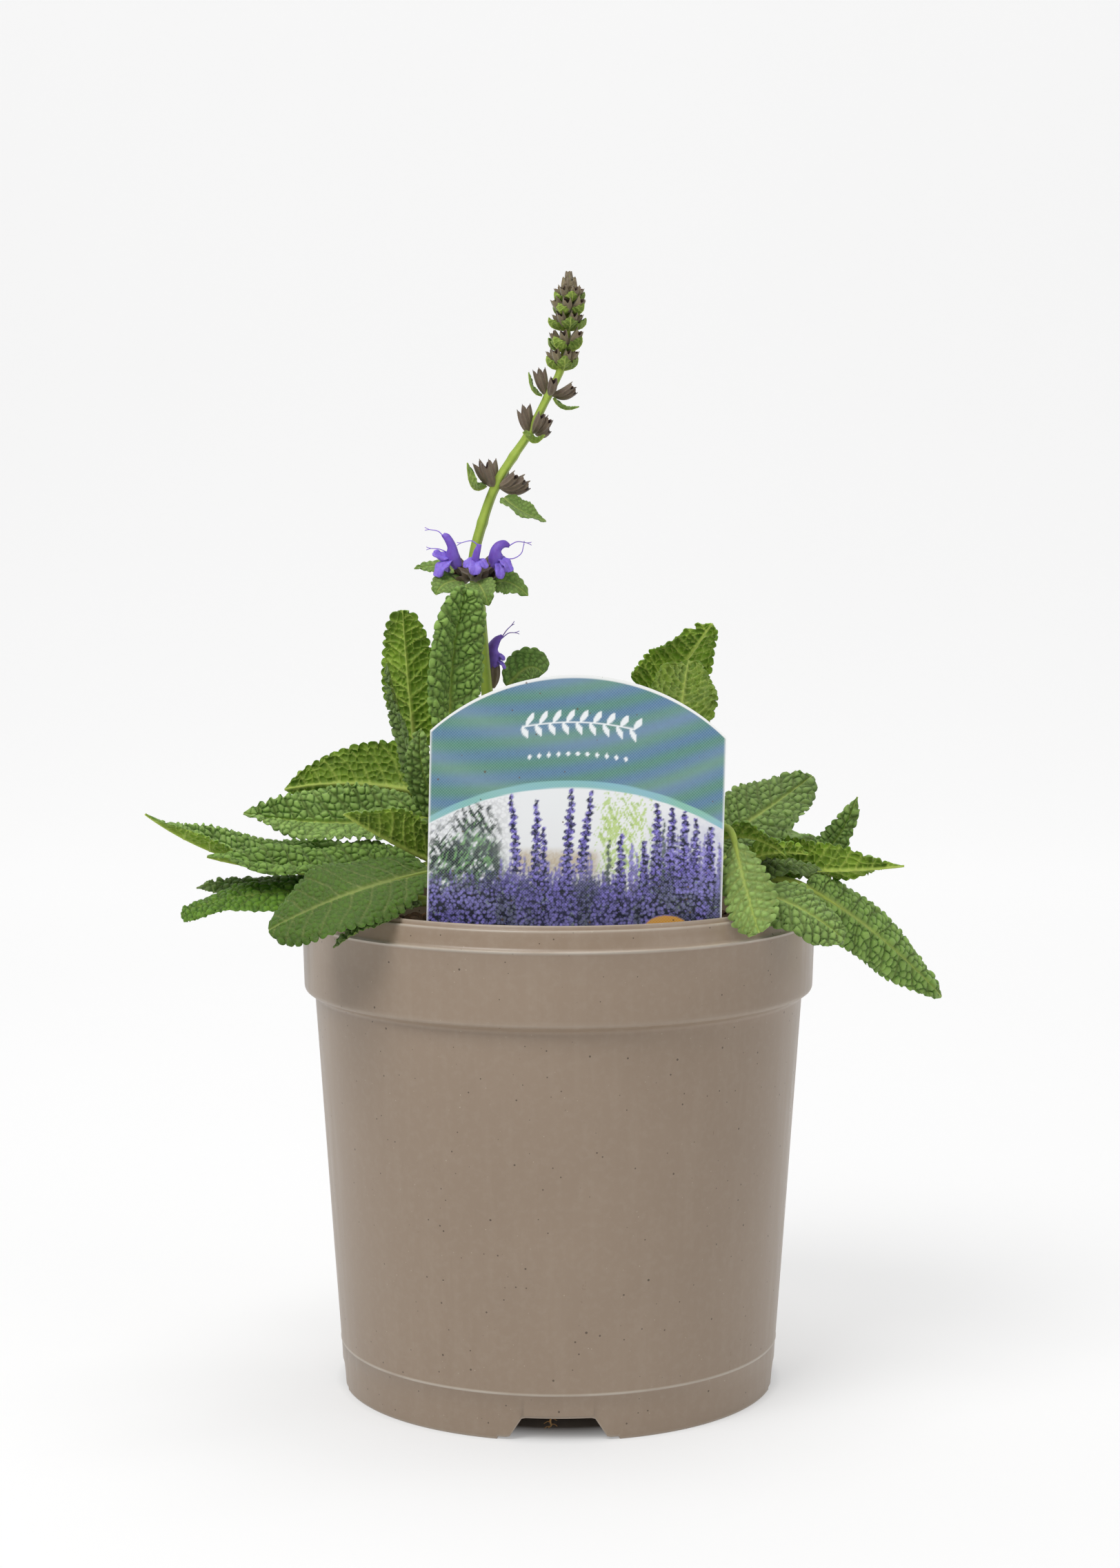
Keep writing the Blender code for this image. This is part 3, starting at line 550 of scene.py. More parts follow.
@dataclass(frozen=True)
class PotFinish:
    """Satin taupe plastic with dust, dark specks, fine scratches, and pale lines along its edges: painted
    highlights where the edges catch the light, with the mould's seam lines.
    """

    name: str = "pot_plastic"
    body: tuple = (147, 129, 111)
    shade: tuple = (142, 124, 106)
    # The colour of the pale edge lines: painted highlights, with the mould's seam lines.
    flash: tuple = (196, 188, 176)
    speck: tuple = (70, 55, 42)

    def make(self) -> bpy.types.Material:
        """Builds the material: the mesh carries a value that is 1 on the pale edge lines, painted highlights
        where the pot's edges catch the light, with the mould's seam lines.
        """
        kit = Finish(self.name, Specular_IOR_Level=0.45)
        sheet = kit.sheet
        mottle = kit.effect(Effect.MOTTLE, 14.0)
        dust = kit.effect(Effect.MOTTLE, 420.0)
        specks = kit.effect(Effect.SPECKS, 250.0, 0.165)
        pale = kit.effect(Effect.SPECKS, 330.0, 0.12)
        stretch = sheet.add("Mapping", {"Vector": kit.place, "Scale": (1.0, 1.0, 0.06)}).outputs[0]
        streak = sheet.add("TexNoise", {"Vector": stretch, "Scale": 260.0, "Detail": 3.0}).outputs["Fac"]
        colour = sheet.blend(mottle, srgb(*self.shade), srgb(*self.body))
        colour = sheet.blend(sheet.span(dust, 0.4, 1.0, 0.0, 0.1), colour, srgb(176, 165, 150))
        colour = sheet.blend(sheet.span(streak, 0.5, 0.75, 0.0, 0.12), colour, srgb(168, 154, 138))
        colour = sheet.blend(sheet.sum("MULTIPLY", pale, 0.45), colour, srgb(200, 188, 168))
        colour = sheet.blend(sheet.sum("MULTIPLY", specks, 0.8), colour, srgb(*self.speck))
        # Pale lines along the pot's edges: painted highlights where the edges catch the light, with the
        # mould's seam lines.
        colour = sheet.blend(sheet.sum("MULTIPLY", sheet.carried("flash"), 0.75), colour, srgb(*self.flash))
        rough = sheet.span(sheet.sum("ADD", streak, sheet.sum("MULTIPLY", dust, 0.2)), 0.3, 0.9, 0.27, 0.42)
        return kit.show(colour, rough, kit.effect(Effect.GRAIN, 1400.0), 0.02)


@dataclass(frozen=True)
class CompostFinish:
    """Dark crumbly compost with paler fibres."""

    name: str = "compost"

    def make(self) -> bpy.types.Material:
        """Builds the material: the mesh carries tone, paler on the lumps' tops and darker between them, which
        is painted light and shade, and paler on bark.
        """
        kit = Finish(self.name, Specular_IOR_Level=0.25)
        sheet = kit.sheet
        mottle = kit.effect(Effect.MOTTLE, 500.0)
        fine = kit.effect(Effect.GRAIN, 2200.0)
        share = sheet.weigh(sheet.carried("tone"), mottle, 0.2)
        colour = sheet.blend(share, srgb(26, 19, 14), srgb(112, 84, 58))
        return kit.show(colour, sheet.span(fine, 0.2, 0.8, 0.8, 0.98), fine, 0.4)


@dataclass(frozen=True)
class TagFinish:
    """A printed card: the print is carried as a colour, under a halftone screen and a satin face."""

    name: str = "tag_print"

    def make(self) -> bpy.types.Material:
        """Builds the material."""
        kit = Finish(self.name, Specular_IOR_Level=0.4)
        sheet = kit.sheet
        ink = sheet.add("Attribute", attribute_name="ink").outputs["Color"]
        turned = sheet.add("Mapping", {"Vector": kit.place, "Rotation": (0.0, 0.78, 0.0)}).outputs[0]
        dots = sheet.add(
            "TexVoronoi", {"Vector": turned, "Scale": 1500.0, "Randomness": 0.0},
        ).outputs["Distance"]
        screened = sheet.blend(sheet.span(dots, 0.25, 0.6, 0.0, 0.14), ink, (0.75, 0.82, 0.82))
        busy = sheet.carried("busy")
        petals = sheet.add("TexVoronoi", {"Vector": kit.place, "Scale": 950.0, "Randomness": 1.0})
        dark = sheet.sum("MULTIPLY", busy, sheet.span(petals.outputs["Distance"], 0.38, 0.72))
        screened = sheet.blend(dark, screened, srgb(34, 38, 50))
        flecks = kit.effect(Effect.GRAIN, 1500.0)
        pale = sheet.sum("MULTIPLY", busy, sheet.span(flecks, 0.58, 0.7, 0.0, 0.55))
        screened = sheet.blend(pale, screened, srgb(150, 138, 226))
        specks = kit.effect(Effect.SPECKS, 240.0, 0.17)
        colour = sheet.blend(sheet.sum("MULTIPLY", specks, 0.7), screened, srgb(96, 72, 48))
        fine = kit.effect(Effect.GRAIN, 900.0)
        return kit.show(colour, sheet.span(fine, 0.3, 0.7, 0.3, 0.42), fine, 0.01)


def put(name: str, data: bpy.types.ID) -> bpy.types.Object:
    """Adds an object that holds some data to the scene."""
    held = bpy.data.objects.new(name, data)
    bpy.context.scene.collection.objects.link(held)
    return held


def add_piece(
    name: str, surface: Surface, finish: bpy.types.Material, nodes: Sequence[str] = (),
    crease: float = 50.0,
) -> bpy.types.Object:
    """Makes a surface a piece of the object: its mesh, finish, body and the CAD nodes that it stands for.

    Args:
        name: The piece's name.
        surface: Its surface, in millimetres.
        finish: Its material.
        nodes: The CAD nodes that it replaces.
        crease: Edges that turn by more than this many degrees stay sharp.

    Returns:
        The object.
    """
    mesh = bpy.data.meshes.new(name)
    mesh.vertices.add(len(surface.points))
    mesh.vertices.foreach_set("co", (surface.points * MM).astype(np.float32).ravel())
    corners = np.concatenate([surface.quads.ravel(), surface.triangles.ravel()])
    mesh.loops.add(len(corners))
    mesh.loops.foreach_set("vertex_index", corners.astype(np.int32))
    fours = np.arange(len(surface.quads)) * 4
    threes = len(surface.quads) * 4 + np.arange(len(surface.triangles)) * 3
    starts = np.concatenate([fours, threes])
    mesh.polygons.add(len(starts))
    mesh.polygons.foreach_set("loop_start", starts.astype(np.int32))
    mesh.update(calc_edges=True)
    mesh.validate()
    for key, value in surface.values.items():
        if value.ndim == 2:
            store = mesh.color_attributes.new(key, "FLOAT_COLOR", "POINT")
            store.data.foreach_set("color", np.c_[value, np.ones(len(value))].astype(np.float32).ravel())
        else:
            store = mesh.attributes.new(key, "FLOAT", "POINT")
            store.data.foreach_set("value", value.astype(np.float32))
    mesh.shade_smooth()
    mesh.set_sharp_from_angle(angle=math.radians(crease))
    mesh.materials.append(finish)
    piece = put(name, mesh)
    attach(piece, "root")
    if nodes:
        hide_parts(*nodes)
    LOG.info("%s: %d points, %d faces", name, len(surface.points), len(starts))
    return piece


# ---------------------------------------------------------------------------------------------------------
# Leaves


@dataclass(frozen=True)
class Wrinkles:
    """How a blade's surface is worked, in millimetres: net is the share of fine veins on its upper side."""

    height: float
    cell: float
    lobe: float
    spacing: float
    thick: float = 0.2
    least: float = 0.3
    net: float = 0.0


class Relief(Enum):
    """The kinds of blade surface."""

    SAGE = Wrinkles(1.25, 2.5, 2.1, 0.42)
    SMOOTH = Wrinkles(0.7, 2.3, 2.6, 0.42, net=0.5)
    REAR = Wrinkles(0.8, 2.4, 1.7, 0.7)
    SMALL = Wrinkles(0.3, 1.5, 0.7, 0.3, thick=0.13, least=0.12)
    PETAL = Wrinkles(0.05, 0.9, 0.12, 0.26, thick=0.13, least=0.12)


SHOOTS = {
    "left_front": (-20.0, -22.0),
    "left": (-27.0, -3.0),
    "left_rear": (-16.0, 17.0),
    "right_front": (22.0, -24.0),
    "right": (27.0, -4.0),
    "rear": (6.0, 22.0),
}


@dataclass(frozen=True)
class Blade:
    """One leaf or petal.

    Its midrib is a quadratic Bezier curve from base past bend to tip. Its half-width at share t of its
    length is t^a (1 - t)^b, where a is pointed times widest and b is pointed times (1 - widest), scaled to
    half of width. face is where the upper side looks, and tip_face where it looks at the tip if it turns.
    fold is the angle in degrees that each half rises. curl rolls the margins down, wave makes them ripple,
    tone is how bright the leaf is, partly its own depth of colour and partly painted light and shade (darker
    for leaves in the shadow of others, brighter for the most lit ones), and fresh how far its upper side is a
    clear green and not a grey one.
    """

    name: str
    base: tuple
    bend: tuple
    tip: tuple
    width: float
    face: tuple
    fold: float = 20.0
    widest: float = 0.38
    pointed: float = 1.3
    tip_face: tuple = ()
    shoot: str = ""
    rise: float = 0.0
    curl: float = 0.12
    wave: float = 0.05
    tone: float = 0.5
    fresh: float = 0.1
    relief: Relief = Relief.SAGE
    nodes: tuple = ()

    @property
    def seed(self) -> int:
        """A number of the leaf's own, from the letters of its name."""
        return sum(ord(c) * (k + 3) for k, c in enumerate(self.name)) % 9973

    def length(self) -> float:
        """Length of the midrib, near enough."""
        base, bend, tip = (np.array(p, float) for p in (self.base, self.bend, self.tip))
        legs = np.linalg.norm(bend - base) + np.linalg.norm(tip - bend)
        return float(0.5 * legs + 0.5 * np.linalg.norm(tip - base))

    def axes(self, t: Array) -> tuple[Array, Array, Array]:
        """Midrib points, directions across and upper-side directions at shares t of the length."""
        base, bend, tip = (np.array(p, float) for p in (self.base, self.bend, self.tip))
        t = t[:, None]
        points = (1 - t) ** 2 * base + 2 * t * (1 - t) * bend + t**2 * tip
        along = unit(2 * (1 - t) * (bend - base) + 2 * t * (tip - bend))
        face = (1 - t) * unit(self.face) + t * unit(self.tip_face or self.face)
        normal = unit(face - (face * along).sum(1, keepdims=True) * along)
        return points, np.cross(along, normal), normal

    def half_width(self, t: Array) -> Array:
        """Half-width at shares t of the length."""
        a, b = self.pointed * self.widest, self.pointed * (1 - self.widest)
        peak = self.widest**a * (1 - self.widest) ** b
        return self.width / 2 * t**a * (1 - t) ** b / peak

    def outline(self, t: Array, v: Array) -> tuple[Array, Array, Array]:
        """The blade's width, with its lobed margin.

        The margin stands out in rounded lobes, |sin|^0.75 of the length, by a fourth power across.

        Args:
            t: Shares of the length.
            v: Places across, -1 to 1 from margin to margin.

        Returns:
            The half-width at each t, how far the blade has filled out there, and each point's distance
            from the midrib.
        """
        work = self.relief.value
        grow = drift(t * 3.0 + 5, np.full_like(t, 0.5), self.seed)
        half = np.maximum(self.half_width(t), work.least) * (0.97 + 0.06 * grow)
        full = step_up(half, 0.06 * self.width / 2, 0.32 * self.width / 2)
        lobes = max(round(self.length() / (1.25 * work.cell)), 3)
        edge = np.abs(np.sin(math.pi * (lobes * t + 0.8 * grow))) ** 0.75 - 0.66
        edge = edge * (0.65 + 0.7 * drift(t * lobes / 2.3, np.full_like(t, 0.2), self.seed + 7))
        reach = (work.lobe * full * edge / np.maximum(half, 0.4))[:, None]
        return half, full, half[:, None] * v[None] * (1 + reach * np.abs(v)[None] ** 4)

    def bent(self, t: Array, v: Array, half: Array, full: Array, y: Array) -> tuple[Array, Array]:
        """The middle of the sheet.

        Each half rises by the fold. Its margin rolls down by a fifth power, and ripples by two sines.

        Args:
            t: Shares of the length.
            v: Places across.
            half: The half-width at each t.
            full: How far the blade has filled out at each t.
            y: Each point's distance from the midrib.

        Returns:
            The points, and the way that the upper side looks at each.
        """
        points, across, normal = self.axes(t)
        fold = math.radians(self.fold)
        lean = 0.14
        rise = (np.sqrt(v**2 + lean**2) - lean)[None] * half[:, None]
        sway = np.sin(2 * math.pi * (2.2 * t + 0.13 * self.seed))[:, None] * (v > 0)
        sway = sway + np.sin(2 * math.pi * (1.8 * t + 0.29 * self.seed))[:, None] * (v < 0)
        ripple = self.wave * self.width * sway * np.abs(v) ** 2 * full[:, None]
        roll = self.curl * half[:, None] * np.abs(v)[None] ** 5
        out = y * math.cos(fold) * (1 - 0.25 * self.curl * np.abs(v)[None] ** 6)
        up = rise * math.sin(fold) + ripple - roll
        middle = points[:, None] + out[..., None] * across[:, None] + up[..., None] * normal[:, None]
        face = grid_normals(middle)
        return middle, face * np.sign((face * normal[:, None]).sum(-1, keepdims=True).mean())

    def veins(self, t: Array, v: Array, x: Array, y: Array) -> tuple[Array, Array, Array, Array]:
        """The midrib, and the side veins that leave it at a slant and curve to the tip.

        Args:
            t: Shares of the length.
            v: Places across.
            x: Each point's distance along the midrib.
            y: Its distance from the midrib.

        Returns:
            How much of a side vein and of the midrib is at each point, the midrib's half-thickness, and the
            swell between side veins.
        """
        pitch = max(self.length() / 9.5, 2.2)
        slant = x - 0.55 * np.abs(y) - 0.012 * y**2
        slant = slant + 0.5 * pitch * (v > 0) + 2.2 * (drift(x / 8, y / 6, self.seed + 1) - 0.5)
        off = np.abs(slant / pitch - np.round(slant / pitch)) * pitch
        fade = step_up(np.abs(v), 1.0, 0.75)[None] * 0.6 + 0.4
        side = np.exp(-((off / (0.18 * self.relief.value.cell)) ** 2)) * fade
        rib = max(0.035 * self.width, 0.16) * (1.15 - 0.85 * t)[:, None]
        return side, np.exp(-((y / (1.1 * rib)) ** 2)), rib, np.clip(off / (0.5 * pitch), 0, 1) ** 0.7

    def surface(self) -> Surface:
        """The blade as a thin closed shell.

        The grid runs along the midrib and from margin to margin. Between its side veins the blade swells in
        small domes, the difference of the two nearest scattered points' distances. The lower side follows
        the upper one, and the midrib and side veins stand out from it.

        Returns:
            The closed surface, which carries dome, vein, side, tone and fresh.
        """
        work, own, length = self.relief.value, self.seed, self.length()
        t = np.linspace(0.004, 0.998, max(int(length / work.spacing), 10))
        v = np.linspace(-1, 1, max(int(self.width / work.spacing) | 1, 9))
        half, full, y = self.outline(t, v)
        x = np.broadcast_to(t[:, None] * length, y.shape)
        middle, face = self.bent(t, v, half, full, y)
        side_vein, midrib, rib, pillow = self.veins(t, v, x, y)
        bent_x = x / work.cell + 0.5 * drift(x / 4, y / 4, own + 2)
        _, gap, mark = cells(bent_x, y / work.cell, own + 4)
        dome = 1 - (1 - np.clip(gap / 0.5, 0, 1)) ** 2.2
        dome = dome * (0.7 + 0.45 * mark) * (1 - 0.85 * side_vein) * (1 - midrib)
        depth = work.height * full[:, None] * (0.72 + 0.28 * drift(x / 14, y / 10, own + 6))
        swell = depth * (0.92 * dome + 0.2 * pillow) * (1 - midrib) - 0.3 * rib * midrib
        taper = np.minimum(1, 12 * (1 - np.abs(v)) + 0.35)[None]
        upper = middle + (swell + work.thick * taper)[..., None] * face
        bulge = 0.75 * rib * midrib + 0.16 * work.cell * 0.35 * side_vein * full[:, None]
        lower = middle + (0.9 * swell - work.thick * taper - bulge)[..., None] * face
        net = np.clip(1 - gap / 0.16, 0, 1) * (1 - 0.25 * np.abs(v))[None]
        top_vein = np.clip(midrib + (0.25 + 0.5 * work.net) * side_vein + work.net * net, 0, 1)
        low_vein = np.clip(1.1 * midrib + 0.5 * side_vein + 0.6 * net, 0, 1)
        tone = np.clip(self.tone + 0.16 * (drift(x / 12, y / 12, own + 9) - 0.5), 0, 1)
        # dome also sets the upper side's colour: the domes' tops are painted lighter and the creases darker,
        # which is painted light and shade.
        carried = {
            "dome": (np.clip(0.8 * dome + 0.25 * pillow, 0, 1), 0.5 * dome),
            "vein": (top_vein, low_vein),
            "side": (np.ones_like(y), np.zeros_like(y)),
            "tone": (tone, tone),
            "fresh": (np.full_like(y, self.fresh), np.zeros_like(y)),
        }
        return shell(upper, lower, carried)

    def stalk(self, peg: float = 3.2, half: float = 1.15) -> Surface:
        """The stalk from its shoot to the blade.

        Its path is the cubic that leaves the shoot outwards and a little up, and meets the midrib in line;
        it runs on under the first part of the midrib, and thins as it goes.

        Args:
            peg: The shoot's radius, where the stalk starts.
            half: The stalk's half-thickness.

        Returns:
            The closed surface.
        """
        base = np.array(self.base, float)
        shoot = np.array([*SHOOTS[self.shoot], self.rise])
        out = unit(np.array([base[0] - shoot[0], base[1] - shoot[1], 0.0]))
        start = shoot + out * (peg - 1.2)
        reach = np.linalg.norm(base - start)
        leave = unit(out + np.array([0, 0, 0.6])) * reach
        arrive = unit(np.array(self.bend, float) - base) * reach
        s = np.linspace(0, 1, 26)[:, None]
        path = (2 * s**3 - 3 * s**2 + 1) * start + (s**3 - 2 * s**2 + s) * leave
        path = path + (3 * s**2 - 2 * s**3) * base + (s**3 - s**2) * arrive
        t = np.linspace(0.02, 0.3, 9)
        points, _, normal = self.axes(t)
        path = np.concatenate([path, points - 0.35 * normal])
        radii = half * np.interp(np.arange(len(path)), [0, 3, 24, len(path) - 1], [1.7, 1.05, 0.95, 0.35])
        return round_tube(path, radii, 12, {"vein": 0.7, "tone": self.tone, "dome": 0.3})

    def piece(self, finish: bpy.types.Material, slot: str) -> bpy.types.Object:
        """Makes the leaf a piece, with its stalk where it has one."""
        parts = [self.surface()]
        if self.shoot:
            parts.append(self.stalk())
        return add_piece(self.name + "_skin", join(parts), finish, self.nodes or (self.name,))


UPRIGHT_LEAVES = (
    Blade("leaf_left_upright", (-47, 4, 206), (-50, 4, 234), (-51, -6, 258), 18, (0.1, 1, 0.3), 15, 0.52,
          1.15, shoot="left_rear", rise=172, tone=0.68),
    Blade("leaf_left_rolled", (-42, -8, 190), (-51, -10, 218), (-56, -12, 241), 11, (-0.8, -0.6, 0), 25,
          tip_face=(-0.9, -0.4, 0), shoot="left", rise=168, tone=0.3),
    Blade("leaf_left_small", (-38, -18, 192), (-46, -26, 207), (-44, -30, 221), 12, (-0.3, -0.9, 0.2), 15,
          shoot="left_front", rise=171, tone=0.6),
    Blade("leaf_centre_upright", (-35, -14, 212), (-37, -14, 243), (-30, -16, 266), 24, (0.53, -0.85, 0.2),
          35, 0.5, 0.85, shoot="left_front", rise=175, curl=0.3, wave=0.02, tone=0.88, fresh=0.3),
    Blade("leaf_side_shoot", (-17, 12, 231.5), (-10, 14, 242), (-5, 12, 236), 14, (0.1, -0.9, 0.3), 10, 0.5,
          1.0, tone=0.45, relief=Relief.SMALL),
    Blade("leaf_right_upright", (32, 30, 226), (41, 24, 236), (51, 8, 253), 26, (-0.2, 0.9, 0.4), 15, 0.28,
          1.05, shoot="rear", rise=172, tone=0.85),
    Blade("leaf_right_inner", (39, -22, 216), (40, -18, 231), (43, 0, 241), 22, (-0.1, 0.8, -0.6), -20, 0.4,
          1.2, shoot="right_front", rise=172, curl=0.1, tone=0.3),
)
LEFT_LEAVES = (
    Blade("leaf_left_back", (-39, 20, 193), (-68, 24, 201), (-93, 22, 196), 31, (0, 1, -0.1), 10, 0.3,
          shoot="left_rear", rise=168, wave=0.02, tone=0.5),
    Blade("leaf_left_high", (-43, 0, 189), (-77, -4, 185), (-104, -6, 191), 28, (0, -0.75, 0.65), 35,
          shoot="left", rise=164, tone=0.84),
    Blade("leaf_left_inner", (-36, -27, 176), (-52, -37, 184), (-68, -44, 195), 28, (-0.1, 0.3, 0.95), 50,
          shoot="left_front", rise=164, tone=0.75),
    Blade("leaf_left_long", (-44, 2, 173), (-100.2, -2, 163.6), (-132.0, -36, 194.2), 29, (0.1, -0.3, 0.95),
          35, 0.42, 2.0, shoot="left", rise=159, tone=0.8),
    Blade("leaf_left_middle", (-45, -16, 174), (-79, -24, 170), (-113, -32, 180), 31, (0, -0.3, 0.95), 40,
          0.3, 1.1, shoot="left_front", rise=160, curl=0.3, tone=0.66, fresh=0.5),
    Blade("leaf_left_shade", (-60, -8, 165), (-94, -12, 169), (-119, -12, 167), 14, (0, -0.3, 0.95), 5,
          shoot="left", rise=156, tone=0.25),
    Blade("leaf_left_low", (-58, -24, 167), (-104, -30, 170), (-122, -28, 160), 18, (0, -0.3, 0.95), 0, 0.5,
          1.1, shoot="left", rise=155.5, tone=0.7, fresh=0.9),
    Blade("leaf_left_front", (-37, -42, 177), (-62, -72, 177), (-90, -66, 161), 31, (0.1, -0.55, 0.83), 4,
          0.6, 1.6, shoot="left_front", rise=157, tone=0.16, fresh=1.0, relief=Relief.SMOOTH),
    Blade("leaf_left_drooping", (-44, -55, 168), (-54, -68, 169), (-70, -66, 155.6), 9, (0, -0.3, 0.95), 5,
          shoot="left_front", rise=153, tone=0.35),
)
RIGHT_LEAVES = (
    Blade(
        "leaf_right_high", (51, -26, 184), (64, -22, 191), (84, -2, 203), 25, (-0.1, -0.8, 0.6), 10, 0.42,
        1.15, shoot="right_front", rise=168, tone=0.4,
    ),
    Blade(
        "leaf_right_curled", (47, -39, 186), (62, -44, 191), (72, -46, 182), 15, (0.2, 0.3, 0.9), 20,
        tip_face=(0.4, 0.3, 0.8), shoot="right_front", rise=165, tone=0.8, fresh=0.5,
    ),
    Blade(
        "leaf_right_bright", (60, -33, 179), (68, -34, 183), (80, -35, 181), 12, (0.1, 0.6, 0.8), 15,
        shoot="right_front", rise=162, tone=0.95, fresh=0.8,
    ),
    Blade(
        "leaf_right_pointed", (66, -10, 174), (89, -16, 172), (112, -25, 176), 23, (0, 0.8, 0.55), 35, 0.25,
        1.5, shoot="right", rise=164, tone=0.75,
    ),
    Blade(
        "leaf_right_shade", (59, -28, 175), (71, -30, 177), (85, -28, 175), 14, (0, -0.3, 0.95), 5,
        shoot="right", rise=160, tone=0.25,
    ),
    Blade(
        "leaf_right_rear", (82, 14, 169), (95, 14, 177), (100, 8, 195), 12, (-0.5, -0.85, 0.2), 5, 0.3,
        shoot="right", rise=168, tone=0.6,
    ),
    Blade(
        "leaf_right_long", (80, -25, 169.2), (103, -14, 156.2), (129.2, 10, 126.9), 20, (0.32, -0.87, 0.38),
        -18, 0.4, 1.1, shoot="right", rise=156, tone=0.84, fresh=0.3,
    ),
    Blade(
        "leaf_right_front", (61, -47, 171), (78, -57, 168), (90, -53, 155.5), 20, (0.25, -0.65, 0.7), -6,
        0.42, 1.0, shoot="right_front", rise=158, tone=0.62,
    ),
    Blade(
        "leaf_right_pale", (55, -57, 188), (58, -64, 174), (62, -71, 161), 16, (-0.1, -0.9, -0.3), -8, 0.62,
        1.2, shoot="right_front", rise=155, tone=0.7, fresh=0.0, relief=Relief.SMOOTH,
    ),
)
REAR_LEAVES = (
    Blade("leaf_rear_right", (32, 40, 186), (45, 58, 190), (57, 82, 174), 29, (0, 0.2, 1), 14,
          tip_face=(0.2, 0.5, 0.8), shoot="rear", rise=160, relief=Relief.REAR),
    Blade("leaf_rear_centre", (6, 40, 177), (4, 62, 186), (0, 88, 168), 28, (0, 0.1, 1), 14,
          tip_face=(0, 0.4, 0.9), shoot="rear", rise=156, relief=Relief.REAR),
    Blade("leaf_rear_left", (-30, 38, 180), (-44, 56, 188), (-60, 80, 180), 27, (-0.1, 0, 1), 14,
          tip_face=(-0.1, 0.2, 1), shoot="left_rear", rise=162, relief=Relief.REAR),
    Blade("leaf_rear_upright", (6, 34, 192), (6, 44, 214), (8, 66, 226), 26, (0, -0.7, 0.7), 16,
          tip_face=(0, -0.8, 0.6), shoot="rear", rise=167, relief=Relief.REAR),
    Blade("leaf_rear_side", (56, 22, 172), (72, 34, 184), (96, 44, 172), 28, (0.1, 0, 1), 14,
          tip_face=(0.3, 0.1, 0.9), shoot="right", rise=164, relief=Relief.REAR),
)
BRACTS = (
    Blade("bract_first_rear", (-33, 7, 270), (-40, 10, 273), (-48, 9, 271), 6, (0, -0.7, 0.7), 10),
    Blade(
        "bract_first_left", (-31.5, -3, 267.5), (-38, -8, 268), (-40, -9, 263), 11, (-0.1, -0.7, 0.7), 10,
    ),
    Blade(
        "bract_first_front", (-27, -5.5, 267), (-25, -14, 267), (-22.6, -13, 259.6), 10, (0, -0.6, 0.8), 12,
        tip_face=(0, -0.9, 0.2),
    ),
    Blade(
        "bract_first_right", (-22.4, -1, 266), (-17, -2, 269.6), (-10, -2, 262.4), 10, (0.1, -0.8, 0.6), 8,
    ),
    Blade(
        "bract_second_left", (-23.8, 1, 298.6), (-29.5, 0, 294), (-29.8, -1, 306), 13, (0.4, 0, 0.9), 30,
        tip_face=(1, 0, 0.2),
    ),
    Blade(
        "bract_second_right", (-18.0, -2.6, 294.6), (-13, -6.4, 289.6), (-4, -4, 286.8), 11,
        (0.3, -0.5, 0.8), 22,
    ),
    Blade("bract_third", (-11.4, -3, 316), (-8, -5, 309.5), (-4.4, -5, 315), 8, (0.1, 0.2, 1), 35),
    Blade(
        "bract_fourth_left", (-5.4, 1, 327.9), (-9.6, 0, 328), (-9.7, 0, 335.4), 6, (0.4, 0, 0.9), 25,
        tip_face=(1, 0, 0),
    ),
    Blade(
        "bract_fourth_right", (-1.6, 0, 327), (0.8, -1, 321.5), (6.8, -1, 324.2), 6, (0.6, 0, 0.8), 25,
        tip_face=(-0.3, 0, 0.9),
    ),
)


@dataclass
class Foliage:
    """All the leaves, and the shoots that they grow from."""

    shoot_radius: float = 3.2
    shoot_low: float = 146.0
    shoot_high: float = 175.5

    def shoots(self) -> Surface:
        """The shoots: knobbly pegs that swell three times as they rise and narrow to a bud."""
        parts = []
        for number, (x, y) in enumerate(SHOOTS.values()):
            s = np.linspace(0, 1, 40)
            z = self.shoot_low + s * (self.shoot_high - self.shoot_low)
            path = np.stack([np.full(40, x), np.full(40, y), z], axis=1)
            swell = 1.1 + 0.22 * np.sin(s * 19 + number) - 0.8 * step_up(s, 0.8, 1.0)
            path[:, 0] += 0.5 * np.sin(5 * s + number)
            parts.append(round_tube(path, self.shoot_radius * swell, 16, {"tone": 0.4}))
        return join(parts)

    def build(self, leaf: bpy.types.Material, bract: bpy.types.Material, bark: bpy.types.Material) -> None:
        """Builds every leaf, small leaf and shoot."""
        for blade in UPRIGHT_LEAVES + LEFT_LEAVES + RIGHT_LEAVES + REAR_LEAVES:
            blade.piece(leaf, "leaf_green")
        for blade in BRACTS:
            small = Blade(**{**blade.__dict__, "relief": Relief.SMALL, "tone": 0.45, "curl": 0.1})
            small.piece(bract, "bract_green")
        add_piece("shoots", self.shoots(), bark, ("crown",))


# ---------------------------------------------------------------------------------------------------------
# Flower stem


